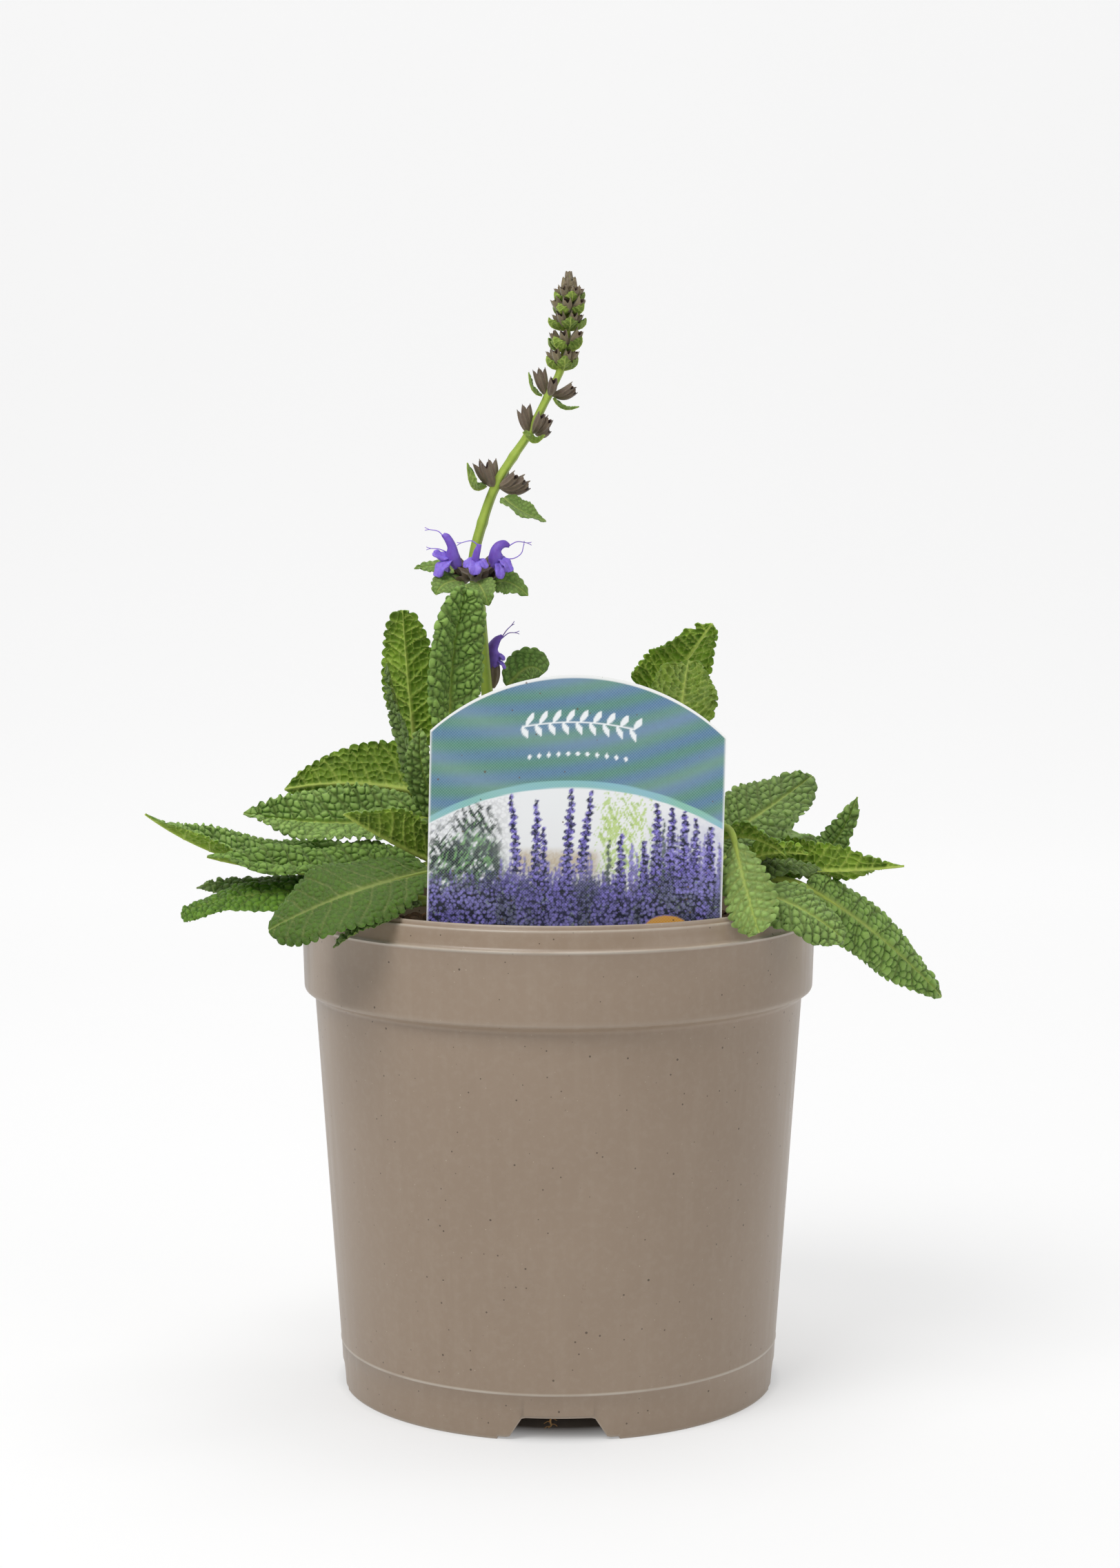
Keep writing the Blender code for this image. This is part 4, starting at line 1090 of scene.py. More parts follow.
def cup(
    base: Sequence[float], tip: Sequence[float], radius: float, ribs: int = 8, bow: float = 0.5,
) -> Surface:
    """A seed cup: a ribbed bell with a toothed, open mouth.

    Its outside runs from the base to the mouth, its radius a sine of the way up; ribs stand out as a cosine
    round it. The mouth's edge reaches further where the teeth are, and the inside runs back down to a
    floor.

    Args:
        base: Where it grows.
        tip: Where its longest teeth end.
        radius: Its largest radius.
        ribs: How many ribs.
        bow: How far its middle hangs below the straight line, in millimetres.

    Returns:
        The closed surface.
    """
    base, tip = np.asarray(base, float), np.asarray(tip, float)
    turn = np.arange(4 * ribs) * 2 * math.pi / (4 * ribs)
    teeth = 0.78 + 0.22 * np.abs(np.cos(turn + 0.4)) ** 0.7 * (0.85 + 0.15 * np.cos(4 * turn))
    climb = np.concatenate([np.linspace(0.02, 1, 16), np.linspace(0.97, 0.45, 7)])
    outside = np.arange(23) < 16
    s = climb[:, None] * teeth[None]
    along = unit(tip - base)
    side = unit(np.cross(along, [0.3, 1.0, 0.2]))
    lift = np.cross(side, along)
    width = radius * (0.3 + 0.75 * np.sin(math.pi * np.clip(s * 0.86, 0, 1)) ** 0.7)
    ridge = 1 + 0.09 * np.cos(ribs * turn)[None] * step_up(s, 0.05, 0.3)
    width = width * np.where(outside[:, None], ridge, 0.86)
    sag = bow * np.sin(math.pi * s)
    middle = base + s[..., None] * (tip - base) - sag[..., None] * np.array([0, 0, 1.0])
    ring = circle(turn, side, lift)
    # Outside, the ribs and the foot are a little paler; the inside takes tone 0.05, the deep colour, which is
    # painted shade inside the cup.
    tone = np.where(outside[:, None], 0.35 + 0.45 * (ridge - 0.95) * 5 * 0.4 + 0.35 * (1 - s) ** 2, 0.05)
    return tube(middle + width[..., None] * ring, {"tone": np.clip(tone, 0, 1)})


def thread(points: Sequence, radius: float = 0.16, fork: float = 0.0) -> Surface:
    """A style or stamen.

    A thin bar along a smooth path, with its end split in two where fork says how wide.
    """
    path = smooth_path(points, 6)
    parts = [round_tube(path, np.linspace(1.15, 0.8, len(path)) * radius, 6, {"tone": 0.85})]
    if fork:
        end, way = path[-1], unit(path[-1] - path[-3])
        for side in (-1, 1):
            half, whole = np.array([0, 0, side * fork * 0.5]), np.array([0, 0, side * fork])
            prong = np.stack([end - 0.2 * way, end + 0.8 * way + half, end + 1.4 * way + whole])
            parts.append(round_tube(smooth_path(prong, 4), 0.7 * radius, 6, {"tone": 0.9}))
    return join(parts)


@dataclass(frozen=True)
class Corolla:
    """One open flower: its tube and arched hood, its lip's lobes, and its threads."""

    name: str
    hood: tuple
    widths: tuple
    lobes: tuple
    threads: tuple
    fork: float = 0.5

    def hood_surface(self) -> Surface:
        """The tube and hood: a bar along an arched path, deeper than wide, hollow on its lower side.

        The radius follows the widths. Past the throat its lower third is pushed in, which makes the hood's
        hollow, and it is squeezed sideways towards the tip.
        """
        path = smooth_path(self.hood, 10)
        s = np.linspace(0, 1, len(path))
        width = np.interp(s, np.linspace(0, 1, len(self.widths)), self.widths)
        along = unit(np.gradient(path, axis=0))
        side = unit(np.cross(along, [0.0, 1.0, 0.0]))
        lift = np.cross(side, along)
        turn = np.arange(20) * 2 * math.pi / 20
        inner = math.copysign(1.0, float(side[0] @ (np.array(self.lobes[0].tip) - np.array(self.hood[0]))))
        low = np.clip(inner * np.cos(turn), 0, 1)[None] ** 1.5 * step_up(s, 0.3, 0.55)[:, None]
        reach = width[:, None] * (1 - 0.75 * low)
        flat = (0.95 - 0.3 * s)[:, None]
        ring = np.cos(turn)[None, :, None] * side[:, None] * reach[..., None]
        ring = ring + np.sin(turn)[None, :, None] * lift[:, None] * (reach * flat)[..., None]
        tone = 0.22 + 0.15 * np.cos(3 * turn)[None] + 0.2 * (1 - s)[:, None]
        return tube(path[:, None] + ring, {"tone": np.clip(tone * np.ones(reach.shape), 0, 1)})

    def surface(self) -> Surface:
        """The whole flower."""
        parts = [self.hood_surface()]
        for lobe in self.lobes:
            petal = lobe.surface()
            # Petals: raised cells painted lighter and the creases between them darker, which is painted light
            # and shade.
            petal.values["tone"] = 0.55 + 0.4 * petal.values["dome"]
            parts.append(petal)
        parts += [thread(points, 0.17, self.fork) for points in self.threads]
        return join(parts)


def lip(base: tuple, bend: tuple, tip: tuple, width: float, face: tuple, fold: float = 20.0) -> Blade:
    """One lobe of a flower's lip: a short, blunt petal."""
    name = f"lip{base[0]:.1f}{tip[2]:.1f}"
    return Blade(
        name, base, bend, tip, width, face, fold, 0.6, 0.7, wave=0.09, curl=0.35, relief=Relief.PETAL,
    )


COROLLAS = (
    Corolla(
        "flower_left",
        (
            (-32.8, -2.6, 271.8), (-34.6, -3, 275.2), (-35.6, -3, 278.6), (-36.9, -3, 281.2),
            (-38.1, -3, 282.4),
        ),
        (1.6, 2.3, 2.2, 2.0, 1.75, 1.0),
        (
            lip((-35.2, -3, 275.4), (-38.2, -4, 275.0), (-41.0, -4.4, 276.8), 4.2, (0.1, -0.7, 0.6)),
            lip((-34.8, -3.4, 274.2), (-38.6, -6, 273.6), (-39.6, -6.6, 268.8), 5.4, (-0.5, -0.7, 0.5)),
            lip((-34.6, -2.6, 274.4), (-37.0, -1, 272.6), (-36.6, -0.6, 269.4), 3.4, (-0.6, -0.6, 0.4)),
        ),
        (
            ((-37.6, -3, 281.8), (-39.4, -3, 283.6), (-42.4, -3, 284.2)),
            ((-36.2, -3, 276.6), (-39.0, -3.4, 277.8), (-41.9, -3.6, 278.0)),
        ),
    ),
    Corolla(
        "flower_centre",
        ((-27.0, -6.4, 270.6), (-26.8, -7.6, 273.4), (-26.2, -8.4, 276.4), (-25.4, -8.6, 279.4)),
        (1.4, 1.9, 1.8, 1.6, 1.0),
        (
            lip((-27.0, -8.0, 274.0), (-27.4, -11.0, 273.4), (-27.0, -11.4, 269.6), 5.0, (0.1, -0.8, 0.5)),
            lip((-27.4, -8.0, 274.4), (-29.6, -9.6, 274.4), (-30.4, -9.6, 271.8), 3.4, (-0.5, -0.8, 0.3)),
            lip((-26.2, -8.0, 274.4), (-24.2, -9.6, 274.2), (-23.8, -9.6, 271.6), 3.4, (0.5, -0.8, 0.3)),
        ),
        (((-26.0, -8.6, 279.0), (-28.4, -8.0, 280.6), (-31.8, -7.4, 279.9)),),
    ),
    Corolla(
        "flower_right",
        (
            (-21.6, -2.6, 271.8), (-20.6, -3, 275.0), (-19.6, -3, 277.6), (-18.0, -3, 278.9),
            (-16.1, -3, 278.6),
        ),
        (1.6, 2.4, 2.5, 2.3, 1.8, 0.9),
        (
            lip((-19.8, -3.2, 274.6), (-16.8, -5.4, 274.6), (-15.9, -6, 270.4), 4.6, (0.5, -0.7, 0.5)),
            lip((-20.2, -3.6, 273.6), (-18.6, -6, 272.4), (-19.2, -6.4, 268.2), 4.0, (0.2, -0.8, 0.4)),
            lip((-19.6, -2.6, 274.6), (-17.2, -1, 275.0), (-16.0, -0.6, 272.0), 3.2, (0.6, -0.5, 0.5)),
        ),
        (
            ((-16.6, -3, 278.6), (-13.6, -3, 280.2), (-10.2, -3, 279.8)),
            ((-18.2, -3, 274.6), (-14.6, -3.4, 274.8), (-12.2, -3.6, 276.4), (-11.5, -3.6, 278.6)),
        ),
    ),
    Corolla(
        "flower_side",
        ((-21.6, 6, 238.2), (-21.7, 6, 241.6), (-21.2, 6, 244.6), (-20.0, 6, 247.2), (-18.5, 6, 249.0)),
        (1.8, 2.6, 2.9, 2.5, 1.7, 0.7),
        (
            lip((-20.6, 5.6, 242.0), (-18.8, 4.6, 243.4), (-18.2, 4.4, 240.8), 2.4, (0.6, -0.6, 0.4)),
            lip((-20.8, 5.4, 241.0), (-18.4, 4.2, 240.2), (-17.8, 4.0, 238.0), 2.0, (0.6, -0.6, 0.4)),
        ),
        (
            ((-18.7, 6, 248.6), (-17.2, 5.6, 250.8), (-15.6, 5.2, 252.4)),
            ((-18.9, 6, 248.0), (-16.6, 6, 249.8), (-14.4, 6, 250.0)),
        ),
    ),
)


@dataclass(frozen=True)
class Whorl:
    """One ring of seed cups on the stem: its middle, the tips of its cups, and each cup's radius."""

    name: str
    middle: tuple
    tips: tuple
    radius: float
    nodes: tuple

    def surface(self) -> Surface:
        """Its cups, each from beside the stem's middle to its tip."""
        middle = np.array(self.middle, float)
        parts = []
        for number, tip in enumerate(self.tips):
            away = (np.array(tip, float) - middle) * [1, 1, 0]
            base = middle + unit(away) * 1.0
            grow = 0.9 + 0.2 * float(lattice(np.array(number), np.array(len(self.name)), 5))
            parts.append(cup(base, tip, self.radius * grow, bow=0.12 * float(np.linalg.norm(away))))
        return join(parts)


WHORLS = (
    Whorl(
        "cups_first",
        (-27.8, 1, 269.0),
        (
            (-34.6, -2.4, 275.2), (-20.2, -2.4, 275.4), (-26.9, -7.4, 271.6), (-33.8, 3.6, 273.4),
            (-21.6, 4.2, 273.8), (-29.4, 7.6, 273.2), (-34.0, -4.6, 270.6), (-21.2, -4.8, 270.4),
        ),
        2.25,
        ("cups_first",),
    ),
    Whorl(
        "cups_second",
        (-20.6, 1, 298.2),
        (
            (-27.2, 0, 306.8), (-24.2, -2.6, 306.4), (-21.8, 2.6, 307.6), (-13.4, -1.6, 302.6),
            (-10.4, 0, 301.0), (-9.0, 1.4, 298.9), (-17.6, 6.4, 303.4),
        ),
        1.75,
        ("cups_second_left", "cups_second_right"),
    ),
    Whorl(
        "cups_third", (-8.9, 1, 315.6),
        (
            (-12.6, -1, 323.8), (-10.6, 1, 325.4), (-5.2, -2.6, 322.4), (-2.4, -1, 320.8),
            (-2.6, 1.6, 317.4), (-9.4, 5.8, 321.4),
        ), 1.6, ("cups_third_left", "cups_third_right"),
    ),
    Whorl(
        "cups_fourth", (-3.2, 1, 328.0),
        (
            (-7.6, 0, 336.8), (-5.4, 1.6, 337.2), (5.2, 0, 331.6), (6.3, 1.6, 329.8), (-1.4, -3.8, 333.6),
            (-1.6, 5.6, 333.8),
        ), 1.35, ("cups_fourth_left", "cups_fourth_right"),
    ),
    Whorl("cup_side", (-23.0, 6, 231.4), ((-21.2, 6, 240.2),), 2.1, ("cup_side",)),
)
SPIKE_RINGS = (
    ((1.2, 1, 337.4), 5.2, 5.2, 1.1),
    ((2.2, 1, 343.4), 6.6, 5.4, 1.25),
    ((2.9, 1, 350.2), 6.2, 4.6, 1.25),
    ((3.3, 1, 354.8), 6.0, 4.4, 1.2),
    ((3.6, 1, 358.8), 5.0, 4.2, 1.1),
    ((3.6, 1, 362.0), 3.2, 4.0, 0.95),
    ((3.3, 1, 364.2), 1.5, 3.7, 0.75),
)


@dataclass
class FlowerSpike:
    """The flower stem and what it carries."""

    stem: tuple = (
        (-10, 3, 155), (-16, 3, 185), (-23, 2, 225), (-26, 1, 258), (-28, 1, 273), (-25, 1, 286.5),
        (-20.5, 1, 298.7), (-14.8, 1, 308), (-9.6, 1, 315.7), (-3.3, 1, 328), (0.6, 1, 336), (2.4, 1, 345),
        (3.4, 1, 355), (3.2, 1, 366.4),
    )
    side_stem: tuple = ((-2, 8, 155), (-12, 8, 190), (-21, 7, 215), (-23, 6, 231.6))
    rings: tuple = SPIKE_RINGS

    def square_stem(self, points: tuple, low: float, high: float) -> Surface:
        """A young sage stem: square with rounded corners, a groove down each side, and swollen joints.

        Its radius at an angle is one over the fourth root of |cos|^4 + |sin|^4, less a groove where the
        sides are flat.

        Args:
            points: Points up its middle.
            low: Half-thickness at the foot.
            high: Half-thickness at the top.

        Returns:
            The closed surface.
        """
        path = smooth_path(points, 14)
        side, lift = path_frame(path, (0.3, 1, 0))
        turn = np.arange(24) * 2 * math.pi / 24
        square = (np.abs(np.cos(turn)) ** 4 + np.abs(np.sin(turn)) ** 4) ** -0.25
        groove = 1 - 0.07 * np.cos(2 * turn) ** 8
        s = np.linspace(0, 1, len(path))
        radius = low + (high - low) * s
        joints = np.array(points, float)[3:, 2]
        for height in joints:
            radius = radius * (1 + 0.12 * np.exp(-(((path[:, 2] - height) / 1.2) ** 2)))
        radius = radius[:, None] * (square * groove)[None] * 0.93
        ring = circle(turn, side, lift)
        tone = 0.5 + 0.3 * np.cos(4 * turn)[None] + 0.15 * s[:, None]
        return tube(path[:, None] + radius[..., None] * ring, {"tone": np.clip(tone, 0, 1)})

    def buds(self) -> tuple[Surface, Surface]:
        """The closed buds of the top, ring by ring, and the small bowl-shaped leaves that hold them.

        Lower rings have cups in their leaves. The upper ones are only leaves, closed round the tip.

        Returns:
            The buds, and the leaves.
        """
        buds, leaves = [], []
        for number, (middle, reach, rise, radius) in enumerate(self.rings):
            middle = np.array(middle, float)
            closed = number > 4
            for k in range(0 if closed else 6):
                turn = 2 * math.pi * (k + 0.4 * (number % 2)) / 6
                grow = 0.85 + 0.3 * float(lattice(np.array(k), np.array(number), 11))
                out = np.array([math.cos(turn), 0.8 * math.sin(turn), 0.0])
                high = middle + out * reach * grow * 0.85 + [0, 0, rise * (0.75 + 0.3 * grow)]
                high[2] = min(high[2], 368.2)
                buds.append(cup(middle + out * 0.7, high, radius * 1.1 * grow, 6, 0.12 * reach))
            count = 5 if closed else 4
            for k in range(count):
                turn = 2 * math.pi * (k + 0.12 + 0.5 * (number % 2)) / count
                way = np.array([math.cos(turn), 0.85 * math.sin(turn), 0.0])
                start = middle + way * 0.5 - [0, 0, 1.2]
                bend = middle + way * (reach * 1.15) - [0, 0, 0.9]
                end = (
                    middle + way * (reach * (0.62 if closed else 0.98))
                    + [0, 0, rise * (1.05 if closed else 0.62)]
                )
                end[2] = min(end[2], 368.3)
                leaf = Blade(
                    f"spike{number}{k}", tuple(start), tuple(bend), tuple(end), 0.75 * reach + 1.9,
                    tuple(0.9 * np.array([0, 0, 1.0]) - 0.45 * way), 34, 0.5, 0.9,
                    tip_face=tuple(0.25 * np.array([0, 0, 1.0]) - way), relief=Relief.SMALL,
                    tone=0.35 + 0.1 * (k % 3), curl=-0.1,
                )
                scale = leaf.surface()
                if closed:
                    # Closed scales: raised cells painted lighter and the creases between them darker, which
                    # is painted light and shade.
                    scale.values["tone"] = 0.3 + 0.6 * scale.values["dome"]
                (buds if closed else leaves).append(scale)
        return join(buds), join(leaves)

    def build(self, finishes: dict[str, bpy.types.Material]) -> None:
        """Builds the stems, cups, flowers and buds.

        Args:
            finishes: The materials, by name.
        """
        green, husk, petal = (finishes[k] for k in ("stem_green", "husk", "petal_violet"))
        add_piece("flower_stem", self.square_stem(self.stem, 2.1, 0.9), green, ("stem",))
        add_piece(
            "side_stem", self.square_stem(self.side_stem, 1.5, 1.0), green, ("stem_side",),
        )
        for whorl in WHORLS:
            add_piece(whorl.name + "_ring", whorl.surface(), husk, whorl.nodes)
        for corolla in COROLLAS:
            add_piece(corolla.name + "_open", corolla.surface(), petal, (corolla.name,), 80)
        buds, leaves = self.buds()
        add_piece("spike_buds", buds, finishes["bud_green"], ("spike_tip",))
        add_piece("spike_leaves", leaves, finishes["bract_green"])


# ---------------------------------------------------------------------------------------------------------
# Pot, compost, root


@dataclass
class NurseryPot:
    """The pot.

    A taper with a rolled band round its mouth, a foot with four notches, and a drained floor.
    """

    foot: float = 72.2
    wall: float = 1.4
    floor_under: float = 9.0
    notch_steps: tuple = (
        (0, 7.3), (10.4, 7.3), (11.6, 7.0), (15.4, 1.1), (16.6, 0.8), (19.2, 0.8), (19.5, 0),
    )
    drains: int = 8
    drain_radius: float = 5.0
    drain_circle: float = 46.0
    drain_turn: float = math.radians(13.0)

    def lift(self, angle: Array) -> Array:
        """How far the foot's lower edge is raised at an angle: the notch's outline, across its middle."""
        off = np.abs((angle + math.pi / 4) % (math.pi / 2) - math.pi / 4)
        across = self.foot * np.sin(off)
        steps = np.array(self.notch_steps)
        return np.interp(across, steps[:, 0], steps[:, 1])

    def profile(self) -> Array:
        """The wall's outline as (radius, height, pale edge line, follows the notches), right round; the pale
        edge line is a painted highlight, with the mould's seam lines.

        A row that is shorter ends in zeros.
        """
        foot, inner = self.foot, self.foot - 1.6
        outside = [
            (foot - 0.25, 0.0, 0.35, 1), (foot, 0.35, 0.4, 1), (foot + 0.03, 0.9, 0, 1), (72.62, 8.2),
            (72.95, 14.55), (73.12, 14.75, 0.7), (73.22, 15.0, 1), (73.16, 15.3, 0.8),
            (73.1, 15.7), (75.2, 46), (77.2, 76), (79.2, 106), (80.55, 126),
            (80.86, 130.6), (80.98, 131.2), (81.4, 131.8), (82.6, 132.6),
            (83.6, 133.1), (84.1, 133.5, 0.1), (84.35, 134.1, 0.25), (84.4, 134.6, 0.1),
            (84.44, 135.6), (84.7, 145), (85.0, 156.0), (85.16, 156.4, 0.5),
            (85.46, 156.75, 1), (85.46, 157.0, 1), (85.1, 157.2, 0.6), (84.6, 157.45, 0.15),
            (84.3, 158.2), (83.9, 161), (83.72, 162.6, 0.1), (83.62, 163.15, 0.7),
            (83.4, 163.4, 0.8), (83.0, 163.4, 0.3), (82.7, 163.45), (82.55, 163.7),
            (82.42, 164.4, 0.2), (82.2, 164.75, 0.4), (81.8, 164.8, 0.4), (81.45, 164.7, 0.3),
            (81.3, 164.4, 0.1),
        ]
        inside = [
            (81.5, 163.0), (82.6, 157.0), (82.75, 148), (82.6, 136.4), (81.8, 134.6),
            (79.6, 132.4), (79.4, 130.6), (77.7, 106), (73.8, 46), (71.7, 15),
            (71.2, 10.4), (inner, 9.0), (inner, 8.2), (inner, 0.9, 0, 1), (inner, 0.35, 0, 1),
            (inner + 0.25, 0.0, 0.3, 1),
        ]
        rows = [row + (0,) * (4 - len(row)) for row in outside + inside]
        return np.array(rows, float)

    def wall_surface(self) -> Surface:
        """The wall: the outline turned round the axis, its foot raised by the notches."""
        turns = [np.arange(0, 360, 1.0)]
        for quarter in range(4):
            for across, _ in self.notch_steps:
                off = math.degrees(math.asin(across / self.foot))
                turns.append(np.array([90 * quarter - off, 90 * quarter + off]) % 360)
        angle = np.radians(np.unique(np.round(np.concatenate(turns), 4)))
        radius, height, flash, raised = self.profile().T
        lift = self.lift(angle)[None] * raised[:, None]
        z = height[:, None] + lift
        # The pale edge lines, painted highlights with the mould's seam lines, waver a little round the pot.
        waver = 0.5 + 0.5 * drift(np.degrees(angle)[None] / 7 + 0 * z, height[:, None] + 0 * z, 3)
        points = np.stack([radius[:, None] * np.cos(angle), radius[:, None] * np.sin(angle), z], axis=-1)
        return tube(points, {"flash": flash[:, None] * waver}, ring_wrap=True)

    def floor_surface(self) -> Surface:
        """The floor with its drain holes.

        The floor is cut like a cake, one slice round each hole. In a slice, a ray at an angle from the
        hole's middle runs from the hole's edge to the slice's boundary, which is where it first meets one
        of the two straight sides or the outer circle. Upper and lower sheets are joined at the hole and
        rim.
        """
        half = math.pi / self.drains
        outer = 71.3
        hub = self.drain_circle
        corners = [
            math.atan2(y, x - hub) for x, y in ((0, 0), (outer * math.cos(half), outer * math.sin(half)))
        ]
        sweep = np.linspace(0, math.pi, 40)
        sweep = np.unique(np.round(np.concatenate([sweep, np.abs(corners)]), 9))
        phi = np.concatenate([sweep[:-1], 2 * math.pi - sweep[:0:-1]])
        step = np.stack([np.cos(phi), np.sin(phi)])
        normal = np.array([[math.sin(half), -math.cos(half)], [math.sin(half), math.cos(half)]])
        closing = normal @ step
        with np.errstate(divide="ignore", invalid="ignore"):
            to_side = np.where(closing < -1e-9, -(normal[:, :1] * hub) / closing, 1e9)
        b = hub * step[0]
        to_rim = -b + np.sqrt(b * b - hub * hub + outer * outer)
        reach = np.minimum(to_side.min(axis=0), to_rim)
        share = np.linspace(0, 1, 5)[:, None]
        ray = self.drain_radius + share * (reach - self.drain_radius)[None]
        x, y = hub + ray * step[0], ray * step[1]
        sheets = []
        for k in range(self.drains):
            east, north = turned(x, y, 2 * half * k + self.drain_turn)
            for z in (self.floor_under, self.floor_under + self.wall):
                sheets.append(np.stack([east, north, np.full(x.shape, z)], axis=-1))
        rows, columns = x.shape
        per = rows * columns
        face = grid_faces(rows, columns, False, True)
        on_rim = np.isclose(reach, to_rim)
        j = np.arange(columns)
        after = (j + 1) % columns
        hole = np.stack([j, after, after + per, j + per], axis=1)
        rim = np.stack(
            [j + per - columns, j + 2 * per - columns, after + 2 * per - columns, after + per - columns],
            axis=1,
        )
        rim = rim[on_rim & on_rim[after]]
        quads = np.concatenate([face[:, ::-1], face + per, hole[:, ::-1], rim[:, ::-1]])
        every = np.concatenate([quads + 2 * per * k for k in range(self.drains)])
        points = np.concatenate([s.reshape(-1, 3) for s in sheets])
        _, first, mark = np.unique(np.round(points, 4), axis=0, return_index=True, return_inverse=True)
        welded = mark.ravel()[every]
        folded = (welded == np.roll(welded, 1, axis=1)).sum(axis=1)
        fours = welded[folded == 0]
        threes = welded[folded == 1]
        threes = np.array(
            [[v for n, v in enumerate(q) if v != q[n - 1]] for q in threes], int,
        ).reshape(-1, 3)
        return Surface(points[first], fours, threes, {}).outward()

    def build(self, finish: bpy.types.Material) -> None:
        """Builds the wall and the floor."""
        add_piece("pot_wall", self.wall_surface(), finish, ("pot",), 60)
        add_piece("pot_floor", self.floor_surface(), finish, (), 40)


@dataclass
class Compost:
    """The compost: a crumbly plug, with loose crumbs and bark chips on it."""

    top: float = 150.0
    reach: float = 81.7
    loose: int = 420

    def level(self, x: Array, y: Array) -> Array:
        """The slow swell of the top: two waves round the pot, lower at the wall, raised at the crown."""
        r, turn = np.hypot(x, y), np.arctan2(y, x)
        swell = 1.2 * np.sin(2 * turn + 0.7) + 0.9 * np.cos(3 * turn + r / 17)
        return (
            self.top - 0.6 + swell * np.minimum(r / 30, 1) - 2.5 * (r / 81.3) ** 4
            + 3.2 * step_up(r, 52, 30)
        )

    def surface(self) -> Surface:
        """The plug: rings from the floor's middle out, up the wall and in over the top.

        The top is raised by lumps of three sizes, each the dome of a scattered point's distance.
        """
        turn = np.arange(400) * 2 * math.pi / 400
        low = np.array(
            [(1, 10.9), (40, 10.9), (70.6, 10.9), (71.2, 15), (79.0, 132), (81.2, 137), (self.reach, 146)]
        )
        radii = np.concatenate([low[:, 0], np.linspace(self.reach - 0.5, 1.0, 112)])
        x, y = radii[:, None] * np.cos(turn), radii[:, None] * np.sin(turn)
        z = np.broadcast_to(np.concatenate([low[:, 1], np.zeros(112)])[:, None], x.shape).copy()
        lumps = np.zeros(x.shape)
        for size, height, seed in ((6.5, 1.5, 1), (3.1, 0.9, 5), (1.6, 0.5, 9)):
            near, _, mark = cells(x / size, y / size, seed)
            lumps += height * (1 - np.clip(near, 0, 1) ** 2) * (0.4 + mark)
        top = np.arange(len(radii)) >= len(low)
        z[top] = (self.level(x, y) + lumps - 1.6)[top]
        # Tone rises with the lumps' height: painted light on their tops and painted shade between them; the
        # scattered pale patches stand for bark.
        tone = np.clip(0.08 + 0.22 * lumps / 2.5 + 0.3 * (drift(x / 1.7, y / 1.7, 3) > 0.8), 0, 1)
        return tube(np.stack([x, y, z], axis=-1), {"tone": tone})

    def crumbs(self) -> Surface:
        """Loose crumbs and bark chips: small uneven lumps and slats, scattered by lattice numbers."""
        number = np.arange(self.loose)
        pick = [lattice(number, number * 0 + k, 31) for k in range(8)]
        r = 10 + (self.reach - 14) * np.sqrt(pick[0])
        turn = 2 * math.pi * pick[1]
        x, y = r * np.cos(turn), r * np.sin(turn)
        size = 0.7 + 1.7 * pick[2] ** 2
        long = np.where(pick[3] > 0.7, 2.2, 1.0)
        rise = np.linspace(-0.96, 0.96, 6)
        spot = np.arange(7)[None]
        around = np.arange(7) * 2 * math.pi / 7
        parts = []
        for n in range(self.loose):
            ring = np.sqrt(1 - rise**2)[:, None]
            row, column = np.arange(6)[:, None] + 0 * spot, spot + 9 * n
            bump = 0.8 + 0.4 * lattice(row, column, 8)
            flat_z = rise[:, None] * 0.6 + 0 * ring * around
            local = np.stack([ring * np.cos(around) * long[n], ring * np.sin(around), flat_z], axis=-1)
            local = local * bump[..., None] * size[n]
            tip = (pick[5][n] - 0.5) * 1.1
            px, py = turned(local[..., 0], local[..., 1], 6.3 * pick[4][n])
            pz = local[..., 2] + tip * px * 0.5
            height = float(self.level(np.array(x[n]), np.array(y[n]))) + 0.9
            points = np.stack([px + x[n], py + y[n], pz + height], axis=-1)
            tone = 0.15 + 0.75 * (pick[6][n] if long[n] > 1 else 0.4 * pick[6][n])
            parts.append(tube(points, {"tone": np.full(points.shape[:2], tone)}))
        return join(parts)

    def build(self, finish: bpy.types.Material) -> None:
        """Builds the plug and the crumbs."""
        add_piece("compost_plug", self.surface(), finish, ("soil",), 60)
        add_piece("compost_crumbs", self.crumbs(), finish)


@dataclass
class StrayRoot:
    """The thin root that hangs inside the front notch, with its side hairs."""

    path: tuple = (
        (-9, -59.5, 6.6), (-5.4, -61.4, 5.8), (-2.7, -62, 4.4), (-2.4, -61.6, 2.4), (-2.9, -61, 0.8),
    )

    def build(self, finish: bpy.types.Material) -> None:
        """Builds the root: a wavering bar with short finer bars off it."""
        line = smooth_path(self.path, 10)
        s = np.linspace(0, 1, len(line))
        line[:, 0] += 0.25 * np.sin(17 * s)
        radii = 0.5 * (1 - 0.55 * s) * (1 + 0.12 * np.sin(31 * s))
        parts = [round_tube(line, radii, 10, {"tone": 0.6})]
        for k in range(6, len(line) - 4, 5):
            side = 1 if k % 2 else -1
            hair = np.stack(
                [line[k], line[k] + [1.0 * side, -0.6, 0.1], line[k] + [1.9 * side, -1.5, -0.2]]
            )
            hair[:, 2] = np.maximum(hair[:, 2], 0.2)
            parts.append(round_tube(smooth_path(hair, 4), 0.13, 6, {"tone": 0.8}))
        add_piece("stray_root", join(parts), finish, ("root",))


# ---------------------------------------------------------------------------------------------------------
# Plant tag


def toned(*display: float) -> Array:
    """A colour given as 0-255 display values, as an array in linear light."""
    return np.array(srgb(*display))


def flat(like: Array, *display: float) -> Array:
    """One colour, given as 0-255 display values, over a whole grid."""
    return np.broadcast_to(toned(*display), (*like.shape, 3))


def over(base: Array, share: Array, colour: Array) -> Array:
    """Colour laid over a base by its share at each place."""
    return base + share[..., None] * (colour - base)


